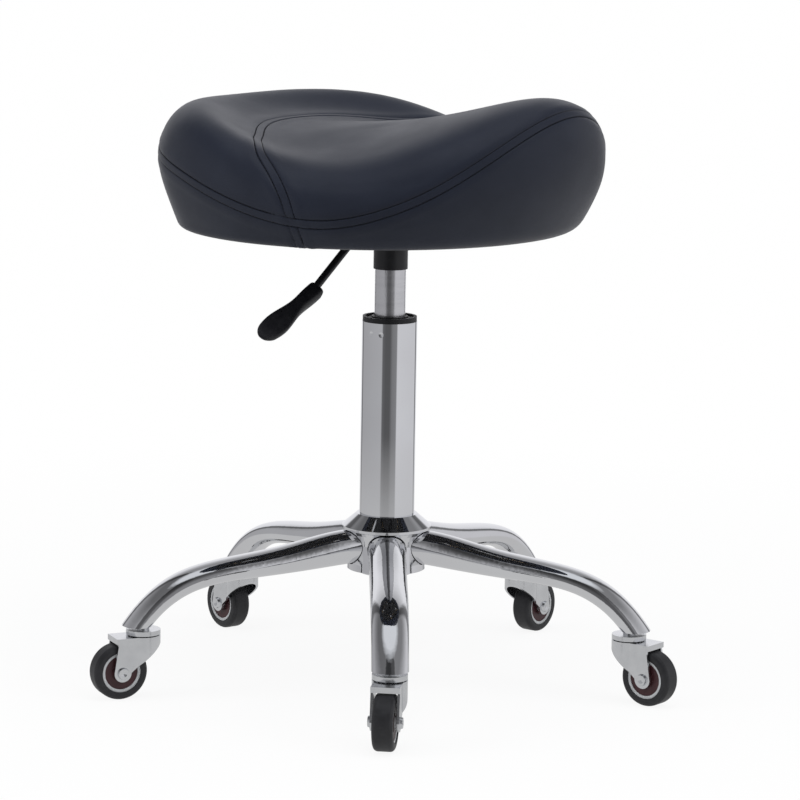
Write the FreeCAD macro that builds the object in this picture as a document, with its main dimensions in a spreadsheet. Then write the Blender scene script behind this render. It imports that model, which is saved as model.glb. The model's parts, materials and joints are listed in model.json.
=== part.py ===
import FreeCAD, Part
import math
import os
import re
import Sketcher
from FreeCAD import Placement, Rotation, Vector

# Rolling saddle stool: a padded saddle on a gas lift, a chromed base of five bent legs, and five casters.
# The origin is on the floor under the column's axis, +Z is up, the front of the saddle points along -Y
# and the height lever comes out on the sitter's right, along -X. Lengths are millimetres, angles degrees.

os.makedirs("parts", exist_ok=True)

leg_count = 5
caster_turns = [-2, 0, 5, -9, -21]      # each caster's rest direction, measured from its own leg
ring_rows = 8                           # rows of points down each half of the cushion
swivel_ball_count = 12
thrust_ball_count = 8

sizes = {
    # Caster wheels
    "wheel_diameter": 50,
    "tyre_width": 18.5,
    "tyre_depth": 7,
    "tyre_round": 4,
    "rim_width": 16.5,
    "rim_ring": 2.6,
    "cap_recess": 2.2,
    "cap_thickness": 1.4,
    "rim_boss_diameter": 12,
    "axle_diameter": 6,
    "axle_head_diameter": 11,
    "axle_head_height": 2.4,
    "axle_dimple": 1,
    "running_gap": 0.05,
    # Caster forks
    "caster_trail": 23.5,
    "tyre_side_gap": 1.2,
    "boss_side_gap": 0.3,
    "fork_plate": 2.2,
    "fork_head_diameter": 31,
    "fork_head_lip": 5,
    "fork_lug_radius": 8,
    "fork_rear_rake": 5,
    "hood_reach": 29,
    "hood_gap": 4,
    "hood_lip": 2.6,
    "crown_plate": 2.4,
    # Caster swivels
    "swivel_ball_diameter": 3.5,
    "swivel_ball_circle": 22,
    "swivel_gap": 0.3,
    "race_plate": 1.4,
    "race_rim": 1.5,
    "race_open": 1,
    "kingpin_diameter": 8,
    "kingpin_head_diameter": 14,
    "kingpin_head_height": 2.4,
    "stem_diameter": 11,
    "stem_neck": 3.6,
    "stem_depth": 14,
    "plug_depth": 17,
    # Legs
    "stem_circle": 458,
    "leg_root_height": 127,
    "leg_fall": 7.2,
    "leg_bend_start": 162,
    "leg_nose_offset": 6,
    "leg_root_width": 34,
    "leg_end_width": 32,
    "leg_root_depth": 31,
    "leg_bend_depth": 21,
    "leg_wall": 1.8,
    # Hub
    "hub_bottom": 105,
    "hub_top": 156,
    "hub_brim_diameter": 81,
    "hub_brim_height": 145,
    "hub_brim_edge": 2.5,
    "hub_waist_diameter": 67,
    "hub_waist_height": 129,
    "hub_foot_diameter": 71,
    "hub_cover_wall": 2.2,
    "hub_top_ring": 2.5,
    "hub_socket_wall": 4,
    "leg_arch_gap": 0.8,
    "press_gap": 0.02,
    # Outer column and its guide bush
    "column_diameter": 50,
    "column_wall": 1.6,
    "column_top": 332.5,
    "column_foot": 101,
    "column_foot_plate": 3,
    "column_taper": 0.8,
    "crimp_drop": 10,
    "crimp_width": 5,
    "crimp_depth": 0.6,
    "bush_length": 84,
    "bush_flange": 4.5,
    "bush_step": 0.5,
    "bush_groove_depth": 1.6,
    "bush_land": 2.5,
    # Gas lift
    "tube_diameter": 28,
    "tube_wall": 2,
    "tube_length": 246.5,
    "tube_taper": 0.9,
    "tube_end_block": 22,
    "rod_guide_length": 18,
    "rod_diameter": 10,
    "rod_tail": 8,
    "rod_length": 190,
    "piston_length": 16,
    "piston_gap": 0.05,
    "washer_diameter": 30,
    "washer_thickness": 2,
    "thrust_ball_diameter": 4,
    "thrust_ball_circle": 18,
    "thrust_gap": 0.3,
    "buffer_diameter": 21,
    "buffer_length": 8,
    "clip_diameter": 17,
    "clip_thickness": 1.2,
    "clip_groove": 1,
    "clip_gap": 0.4,
    "valve_pin_diameter": 6,
    "valve_pin_length": 26,
    "valve_pin_rise": 4,
    # Seat mounting
    "socket_length": 25.8,
    "socket_diameter": 31,
    "socket_collar_diameter": 35,
    "socket_collar_height": 5,
    "socket_rise": 1,
    "tube_proud": 0.5,
    "dish_sheet": 2.5,
    "dish_depth": 18,
    "dish_floor_diameter": 94,
    "dish_mouth_diameter": 118,
    "dish_flange_side": 170,
    "dish_corner_round": 16,
    "bolt_spacing": 140,
    "bolt_diameter": 8,
    "bolt_head_flats": 13,
    "bolt_head_height": 5.3,
    "bolt_hole_gap": 0.4,
    "tee_nut_flange_diameter": 20,
    "tee_nut_flange": 1.6,
    "tee_nut_barrel_diameter": 11,
    "tee_nut_barrel": 9,
    # Height lever
    "lever_rod_diameter": 7,
    "lever_gap": 0.3,
    "lever_pivot_offset": 36,
    "lever_inner_reach": 4.5,
    "lever_straight": 43.7,
    "lever_bend_radius": 36,
    "lever_fall": 33.4,
    "lever_arm_length": 87.7,
    "lever_pin_diameter": 4,
    "lever_pin_length": 18,
    "bracket_sheet": 2.5,
    "bracket_gap": 1,
    "bracket_width": 14,
    "bracket_height": 14.5,
    "lever_slot_width": 12,
    "lever_slot_drop": 9.2,
    "paddle_length": 89,
    "paddle_grip": 26,
    "paddle_neck_width": 15,
    "paddle_waist_width": 14,
    "paddle_waist_place": 30,
    "paddle_blade_width": 21.5,
    "paddle_blade_place": 60,
    "paddle_tip_width": 15,
    "paddle_neck_depth": 14,
    "paddle_tip_depth": 6,
    "paddle_round": 7,
    "paddle_roll": -38,
    "paddle_pitch": 10.3,
    # Saddle: board, foam and cover
    "seat_base": 418,
    "cover_thickness": 2,
    "cover_gap": 0.3,
    "board_thickness": 12,
    "seat_front_reach": 204,
    "seat_rear_reach": 225,
    "seat_width": 421,
    "base_inset_front": 42,
    "base_inset_rear": 33,
    "base_inset_side": 30,
    "wall_height": 87,
    "bulge_front": 0.42,
    "bulge_rear": 0.03,
    "side_band": 12,
    "band_foot": 6,
    "shoulder_front": 76,
    "shoulder_side": 34,
    "shoulder_rear": 54,
    "crest_tail": 501,
    "crest_cantle": 508,
    "crest_seat": 508,
    "crest_dip": 513,
    "crest_rise": 520.5,
    "crest_slope": 532,
    "crest_pommel": 544,
    "crest_nose": 558,
    "crest_round": 14,
    "fall_tail": 38,
    "fall_cantle": 29,
    "fall_dip": 62,
    "fall_slope": 79,
    "fall_nose": 118,
    "flank_power_tail": 3.1,
    "flank_power_dip": 1.6,
    "flank_power_nose": 1.9,
    "cantle_rim_height": 29,
    "cantle_rim_place": 0.865,
    "cantle_rim_width": 0.17,
    "cantle_rim_end": 82.6,
    "cantle_rim_fade": 9.2,
    "summit_radius": 14,
    "cover_tuck": 36,
    "dust_cover_inset": 14,
    "dust_cover_thickness": 0.8,
    "dust_cover_gap": 1.5,
}

# Levels and radii that follow from the sizes, from the floor up
derived = {
    "wheel_radius": "wheel_diameter / 2",
    "rim_radius": "wheel_radius - tyre_depth",
    "cap_radius": "rim_radius - rim_ring",
    "fork_gap": "tyre_width + 2 * tyre_side_gap",
    "fork_outside": "fork_gap / 2 + fork_plate",
    "fork_head_radius": "fork_head_diameter / 2",
    "crown_under": "wheel_diameter + hood_gap",
    "fork_top": "crown_under + crown_plate",
    "race_under": "fork_top + swivel_gap + swivel_ball_diameter",
    "race_top": "race_under + race_plate",
    "leg_tip": "race_top + stem_neck",
    "stem_radius": "stem_circle / 2",
    "column_radius": "column_diameter / 2",
    "column_bore": "column_radius - column_wall",
    "hub_socket_radius": "column_radius + press_gap + hub_socket_wall",
    "hub_socket_top": "hub_top - hub_top_ring",
    "bush_top": "column_top + bush_flange",
    "rod_radius": "rod_diameter / 2",
    "washer_radius": "washer_diameter / 2",
    "foot_floor": "column_foot + column_foot_plate",
    "thrust_ball_level": "foot_floor + washer_thickness + thrust_ball_diameter / 2",
    "upper_washer_level": "foot_floor + washer_thickness + thrust_ball_diameter + thrust_gap",
    "buffer_level": "upper_washer_level + washer_thickness",
    "rod_foot": "column_foot - rod_tail",
    "rod_top": "rod_foot + rod_length",
    "clip_level": "column_foot - clip_gap - clip_thickness",
    "tube_radius": "tube_diameter / 2",
    "tube_bore": "tube_radius - tube_wall",
    "board_under": "seat_base + cover_thickness + cover_gap",
    "board_top": "board_under + board_thickness",
    "dish_floor": "board_under - dish_depth",
    "dish_inside": "dish_floor + dish_sheet",
    "socket_top": "dish_inside + socket_rise",
    "socket_foot": "socket_top - socket_length",
    "tube_top": "socket_top + tube_proud",
    "tube_foot": "tube_top - tube_length",
    "valve_pin_top": "tube_top + valve_pin_rise",
    "lever_level": "valve_pin_top + lever_gap + lever_rod_diameter / 2",
    "bolt_place": "bolt_spacing / 2",
    "tee_nut_seat": "board_top - tee_nut_flange",
    "seat_half_width": "seat_width / 2",
}

doc = FreeCAD.newDocument("saddle_stool")
sheet = doc.addObject("Spreadsheet::Sheet", "sizes")
for row, (alias, number) in enumerate(sizes.items(), start=1):
    sheet.set(f"A{row}", str(number))
    sheet.setAlias(f"A{row}", alias)
doc.recompute()


def formula(text):
    """Turns the names in a formula into the sheet's cells, through the derived values."""
    def cell(word):
        name = word.group()
        if name in sizes:
            return f"sizes.{name}"
        if name in derived:
            return f"({formula(derived[name])})"
        return name
    return re.sub(r"[a-z]\w*", cell, text)


def value(text):
    return float(sheet.evalExpression(formula(text)))


def bind(thing, **properties):
    """Binds properties to formulas; __ stands for the dot in a property's path."""
    for path, text in properties.items():
        thing.setExpression(path.replace("__", "."), formula(text))
    return thing


nodes = {}


def keep(name, thing):
    """Names a finished sub-part, which then has a file of its own."""
    thing.Label = name
    nodes[name] = thing
    return thing


# Ways of making pieces

def origin_plane(body, role):
    return next(plane for plane in body.Origin.OriginFeatures if plane.Role == role)


def outline(body, name, corners, plane):
    """A closed outline of straight edges whose corners are bound to the sheet."""
    sketch = body.newObject("Sketcher::SketchObject", name)
    sketch.AttachmentSupport = [(origin_plane(body, plane), "")]
    sketch.MapMode = "FlatFace"
    points = [Vector(value(across), value(up), 0) for across, up in corners]
    following = points[1:] + points[:1]
    sketch.addGeometry([Part.LineSegment(a, b) for a, b in zip(points, following)], False)
    count = len(points)
    joins = [Sketcher.Constraint("Coincident", k, 2, (k + 1) % count, 1) for k in range(count)]
    sketch.addConstraint(joins)
    for k, (across, up) in enumerate(corners):
        for kind, axis, text, number in (("DistanceX", -2, across, points[k].x),
                                         ("DistanceY", -1, up, points[k].y)):
            if number == 0:
                sketch.addConstraint(Sketcher.Constraint("PointOnObject", k, 1, axis))
            else:
                index = sketch.addConstraint(Sketcher.Constraint(kind, -1, 1, k, 1, number))
                sketch.setExpression(f"Constraints[{index}]", formula(text))
    return sketch


def turned(name, corners):
    """A piece turned about its own Z axis from (radius, height) corners."""
    body = doc.addObject("PartDesign::Body", name)
    sketch = outline(body, name + "_profile", corners, "XZ_Plane")
    turn = body.newObject("PartDesign::Revolution", name + "_turn")
    turn.Profile = sketch
    turn.ReferenceAxis = (sketch, ["V_Axis"])
    turn.Angle = 360
    return body


def ring(name, inner, outer, low, high):
    return turned(name, [(inner, low), (outer, low), (outer, high), (inner, high)])


def disc(name, outer, low, high):
    return turned(name, [("0", low), (outer, low), (outer, high), ("0", high)])


def cut_plate(name, corners, plane, thickness):
    """A flat piece of the given outline, with its thickness centred on the plane."""
    body = doc.addObject("PartDesign::Body", name)
    sketch = outline(body, name + "_outline", corners, plane)
    pad = body.newObject("PartDesign::Pad", name + "_pad")
    pad.Profile = sketch
    pad.Midplane = True
    bind(pad, Length=thickness)
    return body


def rounded(body, radius, chosen):
    """Rounds the edges of a body's last feature that the test picks."""
    doc.recompute()
    base = body.Tip
    edges = [f"Edge{k}" for k, edge in enumerate(base.Shape.Edges, start=1) if chosen(edge)]
    fillet = body.newObject("PartDesign::Fillet", body.Name + "_round")
    fillet.Base = (base, edges)
    bind(fillet, Radius=radius)
    return body


def is_upright(edge):
    ends = [vertex.Point for vertex in edge.Vertexes]
    return len(ends) == 2 and (ends[0] - ends[1]).cross(Vector(0, 0, 1)).Length < 1e-6


def cylinder(name, radius, low, high):
    """A cylinder on the Z axis between two levels."""
    piece = doc.addObject("Part::Cylinder", name)
    return bind(piece, Radius=radius, Height=f"{high} - ({low})", Placement__Base__z=low)


def block(name, left, right, half_width, low, high):
    """A block from left to right along X, centred across Y."""
    piece = doc.addObject("Part::Box", name)
    return bind(piece, Length=f"{right} - ({left})", Width=f"2 * ({half_width})", Height=f"{high} - ({low})",
                Placement__Base__x=left, Placement__Base__y=f"-({half_width})", Placement__Base__z=low)


def cut(name, base, tool):
    piece = doc.addObject("Part::Cut", name)
    piece.Base = base
    piece.Tool = tool
    return piece


def shared(name, first, second):
    piece = doc.addObject("Part::Common", name)
    piece.Base = first
    piece.Tool = second
    return piece


def joined(name, *pieces):
    piece = doc.addObject("Part::MultiFuse", name)
    piece.Shapes = list(pieces)
    return piece


def group(name, pieces):
    """Equal pieces that share one node as separate solids."""
    compound = doc.addObject("Part::Compound", name)
    compound.Links = pieces
    return compound


def around(angle, place=Placement()):
    """A placement turned about the column's axis."""
    return Placement(Vector(), Rotation(Vector(0, 0, 1), angle)) * place


# Legs: an oval tube that falls gently from the hub and bends down over its caster

def leg_path():
    """Stations (distance, height, fall, share of the way) of a leg's centre line: a straight, then an arc."""
    fall = math.radians(value("leg_fall"))
    root = (0.8 * value("hub_socket_radius"), value("leg_root_height"))
    bend = value("leg_bend_start")
    bend_height = root[1] - (bend - root[0]) * math.tan(fall)
    end = value("stem_radius + leg_nose_offset")
    chord = (end - bend, bend_height - value("leg_tip"))
    turn = 2 * (math.atan2(chord[1], chord[0]) - fall)
    radius = math.hypot(*chord) / (2 * math.sin(turn / 2))
    stations = []
    for share in (0, 0.5):
        along = root[0] + (bend - root[0]) * share
        stations.append((along, root[1] - (along - root[0]) * math.tan(fall), fall))
    for share in (0, 0.33, 0.67, 1):
        angle = fall + turn * share
        stations.append((bend + radius * (math.sin(angle) - math.sin(fall)),
                         bend_height - radius * (math.cos(fall) - math.cos(angle)), angle))
    along, height, angle = stations[-1]
    run_out = value("leg_bend_depth")
    stations.append((along + run_out * math.cos(angle), height - run_out * math.sin(angle), angle))
    return stations


def oval(name, station, angle, width, depth):
    along, height, fall = station
    piece = doc.addObject("Part::Ellipse", name)
    bind(piece, MajorRadius=f"({width}) / 2", MinorRadius=f"({depth}) / 2")
    upright = Vector(math.sin(fall), 0, math.cos(fall))
    ahead = Vector(math.cos(fall), 0, -math.sin(fall))
    turn = Rotation(Vector(0, 1, 0), upright, ahead, "ZXY")
    piece.Placement = around(angle, Placement(Vector(along, 0, height), turn))
    return piece


def leg_form(name, angle, inset, stations):
    """The oval leg drawn in by an inset, lofted through its stations."""
    ovals = []
    for k, station in enumerate(stations):
        share = k / 6
        depth_share = min(k, 2) / 2
        width = f"leg_root_width + (leg_end_width - leg_root_width) * {share} - 2 * ({inset})"
        depth = f"leg_root_depth + (leg_bend_depth - leg_root_depth) * {depth_share} - 2 * ({inset})"
        ovals.append(oval(f"{name}_{k}", station, angle, width, depth))
    loft = doc.addObject("Part::Loft", name)
    loft.Sections = ovals
    loft.Solid = True
    return loft


def leg_box(name, angle, low, height):
    """A box round a leg's end, standing at a level and turned with its leg."""
    piece = doc.addObject("Part::Box", name)
    bind(piece, Length="10 * stem_diameter", Width="2 * leg_root_width", Height=height)
    corner = Vector(value("stem_radius - 4 * stem_diameter"), -value("leg_root_width"), value(low))
    piece.Placement = around(angle, Placement(corner, Rotation()))
    return piece


def make_legs():
    path = leg_path()
    plugs = []
    arches = []
    for k in range(leg_count):
        name = f"leg_{k + 1}"
        angle = 360 / leg_count * k
        outside = leg_form(name + "_outside", angle, "0", path)
        inside = leg_form(name + "_inside", angle, "leg_wall", path)
        core = cylinder(name + "_core", "hub_socket_radius", "0", "column_top")
        tube = cut(name + "_tube", outside, inside)
        trimmed = cut(name + "_trimmed", tube, core)
        keep(name, cut(name, trimmed, leg_box(name + "_floor", angle, "0", "leg_tip")))
        block_form = shared(name + "_plug", inside, leg_box(name + "_slab", angle, "leg_tip", "plug_depth"))
        bore = doc.addObject("Part::Cylinder", name + "_bore")
        bind(bore, Radius="stem_diameter / 2 + press_gap", Height="stem_depth + 1")
        bore_foot = Vector(value("stem_radius"), 0, value("leg_tip - 1"))
        bore.Placement = around(angle, Placement(bore_foot, Rotation()))
        plugs.append(cut(f"stem_plug_{k + 1}", block_form, bore))
        arches.append(leg_form(name + "_arch", angle, "-leg_arch_gap", path))
    keep("stem_plugs", group("stem_plugs", plugs))
    return arches


# Hub: a socket that the legs are welded to, and a bright cover with an arch over each leg

def make_hub(arches):
    taper_left = "column_taper * hub_top_ring / (hub_top - hub_bottom)"
    keep("hub_socket", turned("hub_socket", [
        ("column_radius - column_taper + press_gap", "hub_bottom"),
        ("hub_socket_radius", "hub_bottom"),
        ("hub_socket_radius", "hub_socket_top"),
        (f"column_radius - {taper_left} + press_gap", "hub_socket_top")]))
    brim = "hub_brim_diameter / 2"
    waist = "hub_waist_diameter / 2"
    edge = "hub_brim_height - hub_brim_edge"
    cove = []
    for angle in (0, 22.5, 45, 67.5, 90):
        inward = math.sin(math.radians(angle))
        upward = math.cos(math.radians(angle))
        cove.append((f"{brim} - ({brim} - {waist}) * {inward}",
                     f"hub_waist_height + ({edge} - hub_waist_height) * {upward}"))
    cover = turned("hub_cover_form", [
        ("column_radius + press_gap", "hub_top"),
        ("column_radius + hub_top_ring", "hub_top"),
        (brim, "hub_brim_height"),
        *cove,
        ("hub_foot_diameter / 2", "hub_bottom"),
        (f"{waist} - hub_cover_wall", "hub_bottom"),
        (f"{waist} - hub_cover_wall", "hub_socket_top - hub_cover_wall"),
        ("hub_socket_radius", "hub_socket_top"),
        ("column_radius + press_gap", "hub_socket_top")])
    keep("hub_cover", cut("hub_cover", cover, joined("leg_arches", *arches)))


# Outer column with two crimps under its mouth, and the guide bush pressed into it

def make_column():
    column = turned("column_form", [
        ("rod_radius + running_gap", "column_foot"),
        ("column_radius - column_taper", "column_foot"),
        ("column_radius - column_taper", "hub_bottom"),
        ("column_radius", "hub_top"),
        ("column_radius", "column_top"),
        ("column_bore", "column_top"),
        ("column_bore", "hub_top"),
        ("column_bore - column_taper", "hub_bottom"),
        ("column_bore - column_taper", "foot_floor"),
        ("rod_radius + running_gap", "foot_floor")])
    dents = []
    dent_radius = "(crimp_width ^ 2 / 4 + crimp_depth ^ 2) / (2 * crimp_depth)"
    for k, angle in enumerate((174, 197)):
        dent = doc.addObject("Part::Sphere", f"crimp_{k + 1}")
        bind(dent, Radius=dent_radius)
        reach = value(f"column_radius + {dent_radius} - crimp_depth")
        centre = Vector(reach, 0, value("column_top - crimp_drop"))
        dent.Placement = around(angle, Placement(centre, Rotation()))
        dents.append(dent)
    keep("outer_column", cut("outer_column", column, joined("crimps", *dents)))
    bore = "tube_radius + running_gap"
    keep("guide_bush", turned("guide_bush", [
        (bore, "column_top - bush_length"),
        ("column_bore - press_gap", "column_top - bush_length"),
        ("column_bore - press_gap", "column_top"),
        ("column_radius - bush_step", "column_top"),
        ("column_radius - bush_step", "bush_top"),
        ("column_radius - bush_step - bush_land", "bush_top"),
        ("column_radius - bush_step - bush_land", "bush_top - bush_groove_depth"),
        (f"{bore} + bush_land", "bush_top - bush_groove_depth"),
        (f"{bore} + bush_land", "bush_top"),
        (bore, "bush_top")]))


# Gas lift: the tube hangs on the seat, the rod stands on a thrust bearing in the column's foot

def balls(name, count, radius, circle, level, centre=Vector()):
    """A ring of equal balls about an upright axis."""
    pieces = []
    for k in range(count):
        ball = doc.addObject("Part::Sphere", f"{name}_{k + 1}")
        bind(ball, Radius=radius)
        place = around(360 / count * k, Placement(Vector(value(circle) / 2, 0, value(level)), Rotation()))
        ball.Placement = Placement(centre + place.Base, Rotation())
        pieces.append(ball)
    return pieces


def make_gas_lift():
    keep("gas_tube", turned("gas_tube", [
        ("tube_bore", "tube_foot"),
        ("tube_radius", "tube_foot"),
        ("tube_radius", "socket_foot"),
        ("tube_radius - tube_taper", "tube_top"),
        ("valve_pin_diameter / 2 + running_gap", "tube_top"),
        ("valve_pin_diameter / 2 + running_gap", "tube_top - tube_end_block"),
        ("tube_bore", "tube_top - tube_end_block")]))
    keep("rod_guide", ring("rod_guide", "rod_radius + running_gap", "tube_bore",
                           "tube_foot", "tube_foot + rod_guide_length"))
    keep("valve_pin", disc("valve_pin", "valve_pin_diameter / 2",
                           "valve_pin_top - valve_pin_length", "valve_pin_top"))
    groove = "rod_radius - clip_groove"
    keep("piston_rod", turned("piston_rod", [
        ("0", "rod_foot"),
        ("rod_radius", "rod_foot"),
        ("rod_radius", "clip_level"),
        (groove, "clip_level"),
        (groove, "clip_level + clip_thickness"),
        ("rod_radius", "clip_level + clip_thickness"),
        ("rod_radius", "rod_top"),
        ("0", "rod_top")]))
    keep("rod_clip", ring("rod_clip", groove, "clip_diameter / 2",
                          "clip_level", "clip_level + clip_thickness"))
    keep("piston", ring("piston", "rod_radius", "tube_bore - piston_gap",
                        "rod_top - piston_length", "rod_top"))
    keep("thrust_washer_lower", ring("thrust_washer_lower", "rod_radius + running_gap", "washer_radius",
                                     "foot_floor", "foot_floor + washer_thickness"))
    thrust_balls = balls("thrust_ball", thrust_ball_count, "thrust_ball_diameter / 2",
                         "thrust_ball_circle", "thrust_ball_level")
    keep("thrust_balls", group("thrust_balls", thrust_balls))
    keep("thrust_washer_upper", ring("thrust_washer_upper", "rod_radius", "washer_radius",
                                     "upper_washer_level", "buffer_level"))
    keep("rod_buffer", ring("rod_buffer", "rod_radius", "buffer_diameter / 2",
                            "buffer_level", "buffer_level + buffer_length"))


# Casters: a fixed stem with its race, a swivelling fork, and a wheel of tyre, rim and two caps

def fork_profile(name):
    """The fork's side outline: raked behind, slanting from the head's lip down to the axle lugs."""
    head = "fork_head_radius"
    plate = cut_plate(name + "_side", [
        (f"-{head} - 1", "fork_top"),
        (f"-{head} - 1", "fork_top - fork_head_lip"),
        ("caster_trail - fork_lug_radius", "wheel_radius"),
        ("caster_trail + fork_lug_radius", "wheel_radius"),
        ("caster_trail + fork_lug_radius - fork_rear_rake", "fork_top")],
        "XZ_Plane", "2 * fork_head_diameter")
    lug = across_axle(name + "_lug", "fork_lug_radius", "fork_head_diameter")
    return joined(name + "_profile", plate, lug)


def across_axle(name, radius, half_length):
    """A cylinder along Y at the axle's place."""
    piece = doc.addObject("Part::Cylinder", name)
    bind(piece, Radius=radius, Height=f"2 * ({half_length})")
    piece.Placement = Placement(Vector(value("caster_trail"), value(half_length), value("wheel_radius")),
                                Rotation(Vector(1, 0, 0), 90))
    return piece


def make_fork(name):
    """Pressed fork about its own stem axis, trailing along +X."""
    low = "wheel_radius - fork_lug_radius"
    reach = "caster_trail + fork_lug_radius + fork_plate"
    outside = joined(name + "_outside",
                     cylinder(name + "_head", "fork_head_radius", low, "fork_top"),
                     block(name + "_cheeks", "0", reach, "fork_outside", low, "fork_top"))
    inside = joined(name + "_inside",
                    cylinder(name + "_cup", "fork_head_radius - fork_plate", f"{low} - 1", "fork_top + 1"),
                    block(name + "_slot", "0", f"{reach} + 1", "fork_gap / 2", f"{low} - 1", "fork_top + 1"))
    walls = shared(name + "_walls", cut(name + "_shell", outside, inside), fork_profile(name))
    crown = joined(name + "_crown",
                   cylinder(name + "_plate", "fork_head_radius", "crown_under", "fork_top"),
                   block(name + "_hood", "0", "hood_reach", "fork_outside", "crown_under", "fork_top"),
                   block(name + "_lip", "hood_reach - crown_plate", "hood_reach", "fork_outside",
                         "crown_under - hood_lip", "fork_top"))
    holes = joined(name + "_holes",
                   cylinder(name + "_kingpin_hole", "kingpin_diameter / 2 + running_gap",
                            "crown_under - 1", "fork_top + 1"),
                   across_axle(name + "_axle_hole", "axle_diameter / 2 + running_gap", "fork_head_diameter"))
    return cut(name, joined(name + "_blank", walls, crown), holes)


def make_stem(name):
    """Kingpin, upper race and stem as one upset piece."""
    head_top = "crown_under - swivel_gap"
    rim_inside = "fork_head_radius - race_rim"
    return turned(name, [
        ("0", f"{head_top} - kingpin_head_height"),
        ("kingpin_head_diameter / 2", f"{head_top} - kingpin_head_height"),
        ("kingpin_head_diameter / 2", head_top),
        ("kingpin_diameter / 2", head_top),
        ("kingpin_diameter / 2", "race_under"),
        (rim_inside, "race_under"),
        (rim_inside, "fork_top + race_open"),
        ("fork_head_radius", "fork_top + race_open"),
        ("fork_head_radius", "race_top"),
        ("stem_diameter / 2", "race_top"),
        ("stem_diameter / 2", "leg_tip + stem_depth"),
        ("0", "leg_tip + stem_depth")])


def make_tyre(name):
    half = "tyre_width / 2"
    tyre = ring(name, "rim_radius", "wheel_radius", f"-{half}", half)
    outer = value("wheel_radius")
    return rounded(tyre, "tyre_round", lambda edge: edge.Closed and abs(edge.Curve.Radius - outer) < 1e-6)


def make_rim(name):
    """Wheel body: a flat ring beside the tyre, a recess for each cap and a boss on the axle."""
    half = "rim_width / 2"
    seat = "rim_width / 2 - cap_recess"
    boss = "rim_boss_diameter / 2"
    boss_end = "fork_gap / 2 - boss_side_gap"
    bore = "axle_diameter / 2 + running_gap"
    upper = [(boss, boss_end), (boss, seat), ("cap_radius", seat), ("cap_radius", half), ("rim_radius", half)]
    lower = [(radius, f"-({level})") for radius, level in upper]
    return turned(name, [(bore, f"-({boss_end})")] + lower + upper[::-1] + [(bore, boss_end)])


def make_cap(name, side):
    """Wheel cap in its recess, with a raised middle round the boss."""
    seat = "rim_width / 2 - cap_recess"
    boss = "rim_boss_diameter / 2 + running_gap"
    middle = "rim_boss_diameter / 2 + cap_recess"
    levels = [(boss, seat), ("cap_radius", seat),
              ("cap_radius", f"{seat} + cap_thickness"), (middle, f"{seat} + cap_thickness"),
              (middle, f"{seat} + cap_recess"), (boss, f"{seat} + cap_recess")]
    return turned(name, [(radius, f"{side} * ({level})") for radius, level in levels])


def make_axle(name):
    """Axle pin with a dimpled head, and the collar swaged on its other end."""
    radius = "axle_diameter / 2"
    head = "axle_head_diameter / 2"
    pin = turned(name + "_pin", [
        ("0", "-fork_outside - axle_head_height / 2"),
        (radius, "-fork_outside - axle_head_height"),
        (radius, "fork_outside"),
        (head, "fork_outside"),
        (f"{head} - axle_head_height / 3", "fork_outside + axle_head_height"),
        (radius, "fork_outside + axle_head_height"),
        ("0", "fork_outside + axle_head_height - axle_dimple")])
    collar = turned(name + "_collar", [
        (radius, "-fork_outside - axle_head_height"),
        (f"{head} - axle_head_height / 3", "-fork_outside - axle_head_height"),
        (head, "-fork_outside"),
        (radius, "-fork_outside")])
    return pin, collar


def make_casters():
    stems = []
    swivel_balls = []
    for k in range(leg_count):
        number = k + 1
        angle = 360 / leg_count * k
        stem_place = around(angle, Placement(Vector(value("stem_radius"), 0, 0), Rotation()))
        swivel = Placement(stem_place.Base, Rotation(Vector(0, 0, 1), angle + caster_turns[k]))
        axle_place = swivel * Placement(Vector(value("caster_trail"), 0, value("wheel_radius")),
                                        Rotation(Vector(1, 0, 0), 90))
        stem = make_stem(f"caster_stem_{number}")
        stem.Placement = stem_place
        stems.append(stem)
        swivel_balls += balls(f"swivel_{number}_ball", swivel_ball_count, "swivel_ball_diameter / 2",
                              "swivel_ball_circle", "race_under - swivel_ball_diameter / 2", stem_place.Base)
        fork = keep(f"caster_fork_{number}", make_fork(f"caster_fork_{number}"))
        fork.Placement = swivel
        tyre = keep(f"tyre_{number}", make_tyre(f"tyre_{number}"))
        rim = keep(f"rim_{number}", make_rim(f"rim_{number}"))
        tyre.Placement = axle_place
        rim.Placement = axle_place
        caps = [make_cap(f"wheel_cap_{number}_{side_name}", side)
                for side_name, side in (("left", 1), ("right", -1))]
        axle = make_axle(f"axle_{number}")
        for piece in (*caps, *axle):
            piece.Placement = axle_place
        keep(f"wheel_caps_{number}", group(f"wheel_caps_{number}", caps))
        keep(f"axle_{number}", group(f"axle_{number}", list(axle)))
    keep("caster_stems", group("caster_stems", stems))
    keep("swivel_balls", group("swivel_balls", swivel_balls))


# Seat mounting: a pressed dish bolted under the board, holding the lift's taper socket

def four_corners(make, name):
    """Four equal pieces at the bolt places."""
    place = value("bolt_place")
    pieces = []
    for k, (x, y) in enumerate(((1, 1), (-1, 1), (-1, -1), (1, -1)), start=1):
        piece = make(f"{name}_{k}")
        piece.Placement = Placement(Vector(x * place, y * place, piece.Placement.Base.z), Rotation())
        pieces.append(piece)
    return pieces


def through_holes(name, radius, low, high):
    """Four upright cylinders at the bolt places."""
    return four_corners(lambda piece: cylinder(piece, radius, low, high), name)


def make_bolt(name):
    head_low = "board_under - dish_sheet - bolt_head_height"
    head = doc.addObject("Part::Prism", name + "_head")
    head.Polygon = 6
    bind(head, Circumradius="bolt_head_flats / 2 / cos(30)", Height="bolt_head_height",
         Placement__Base__z=head_low)
    shank = cylinder(name + "_shank", "bolt_diameter / 2", "board_under - dish_sheet", "board_top")
    return joined(name, head, shank)


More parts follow.
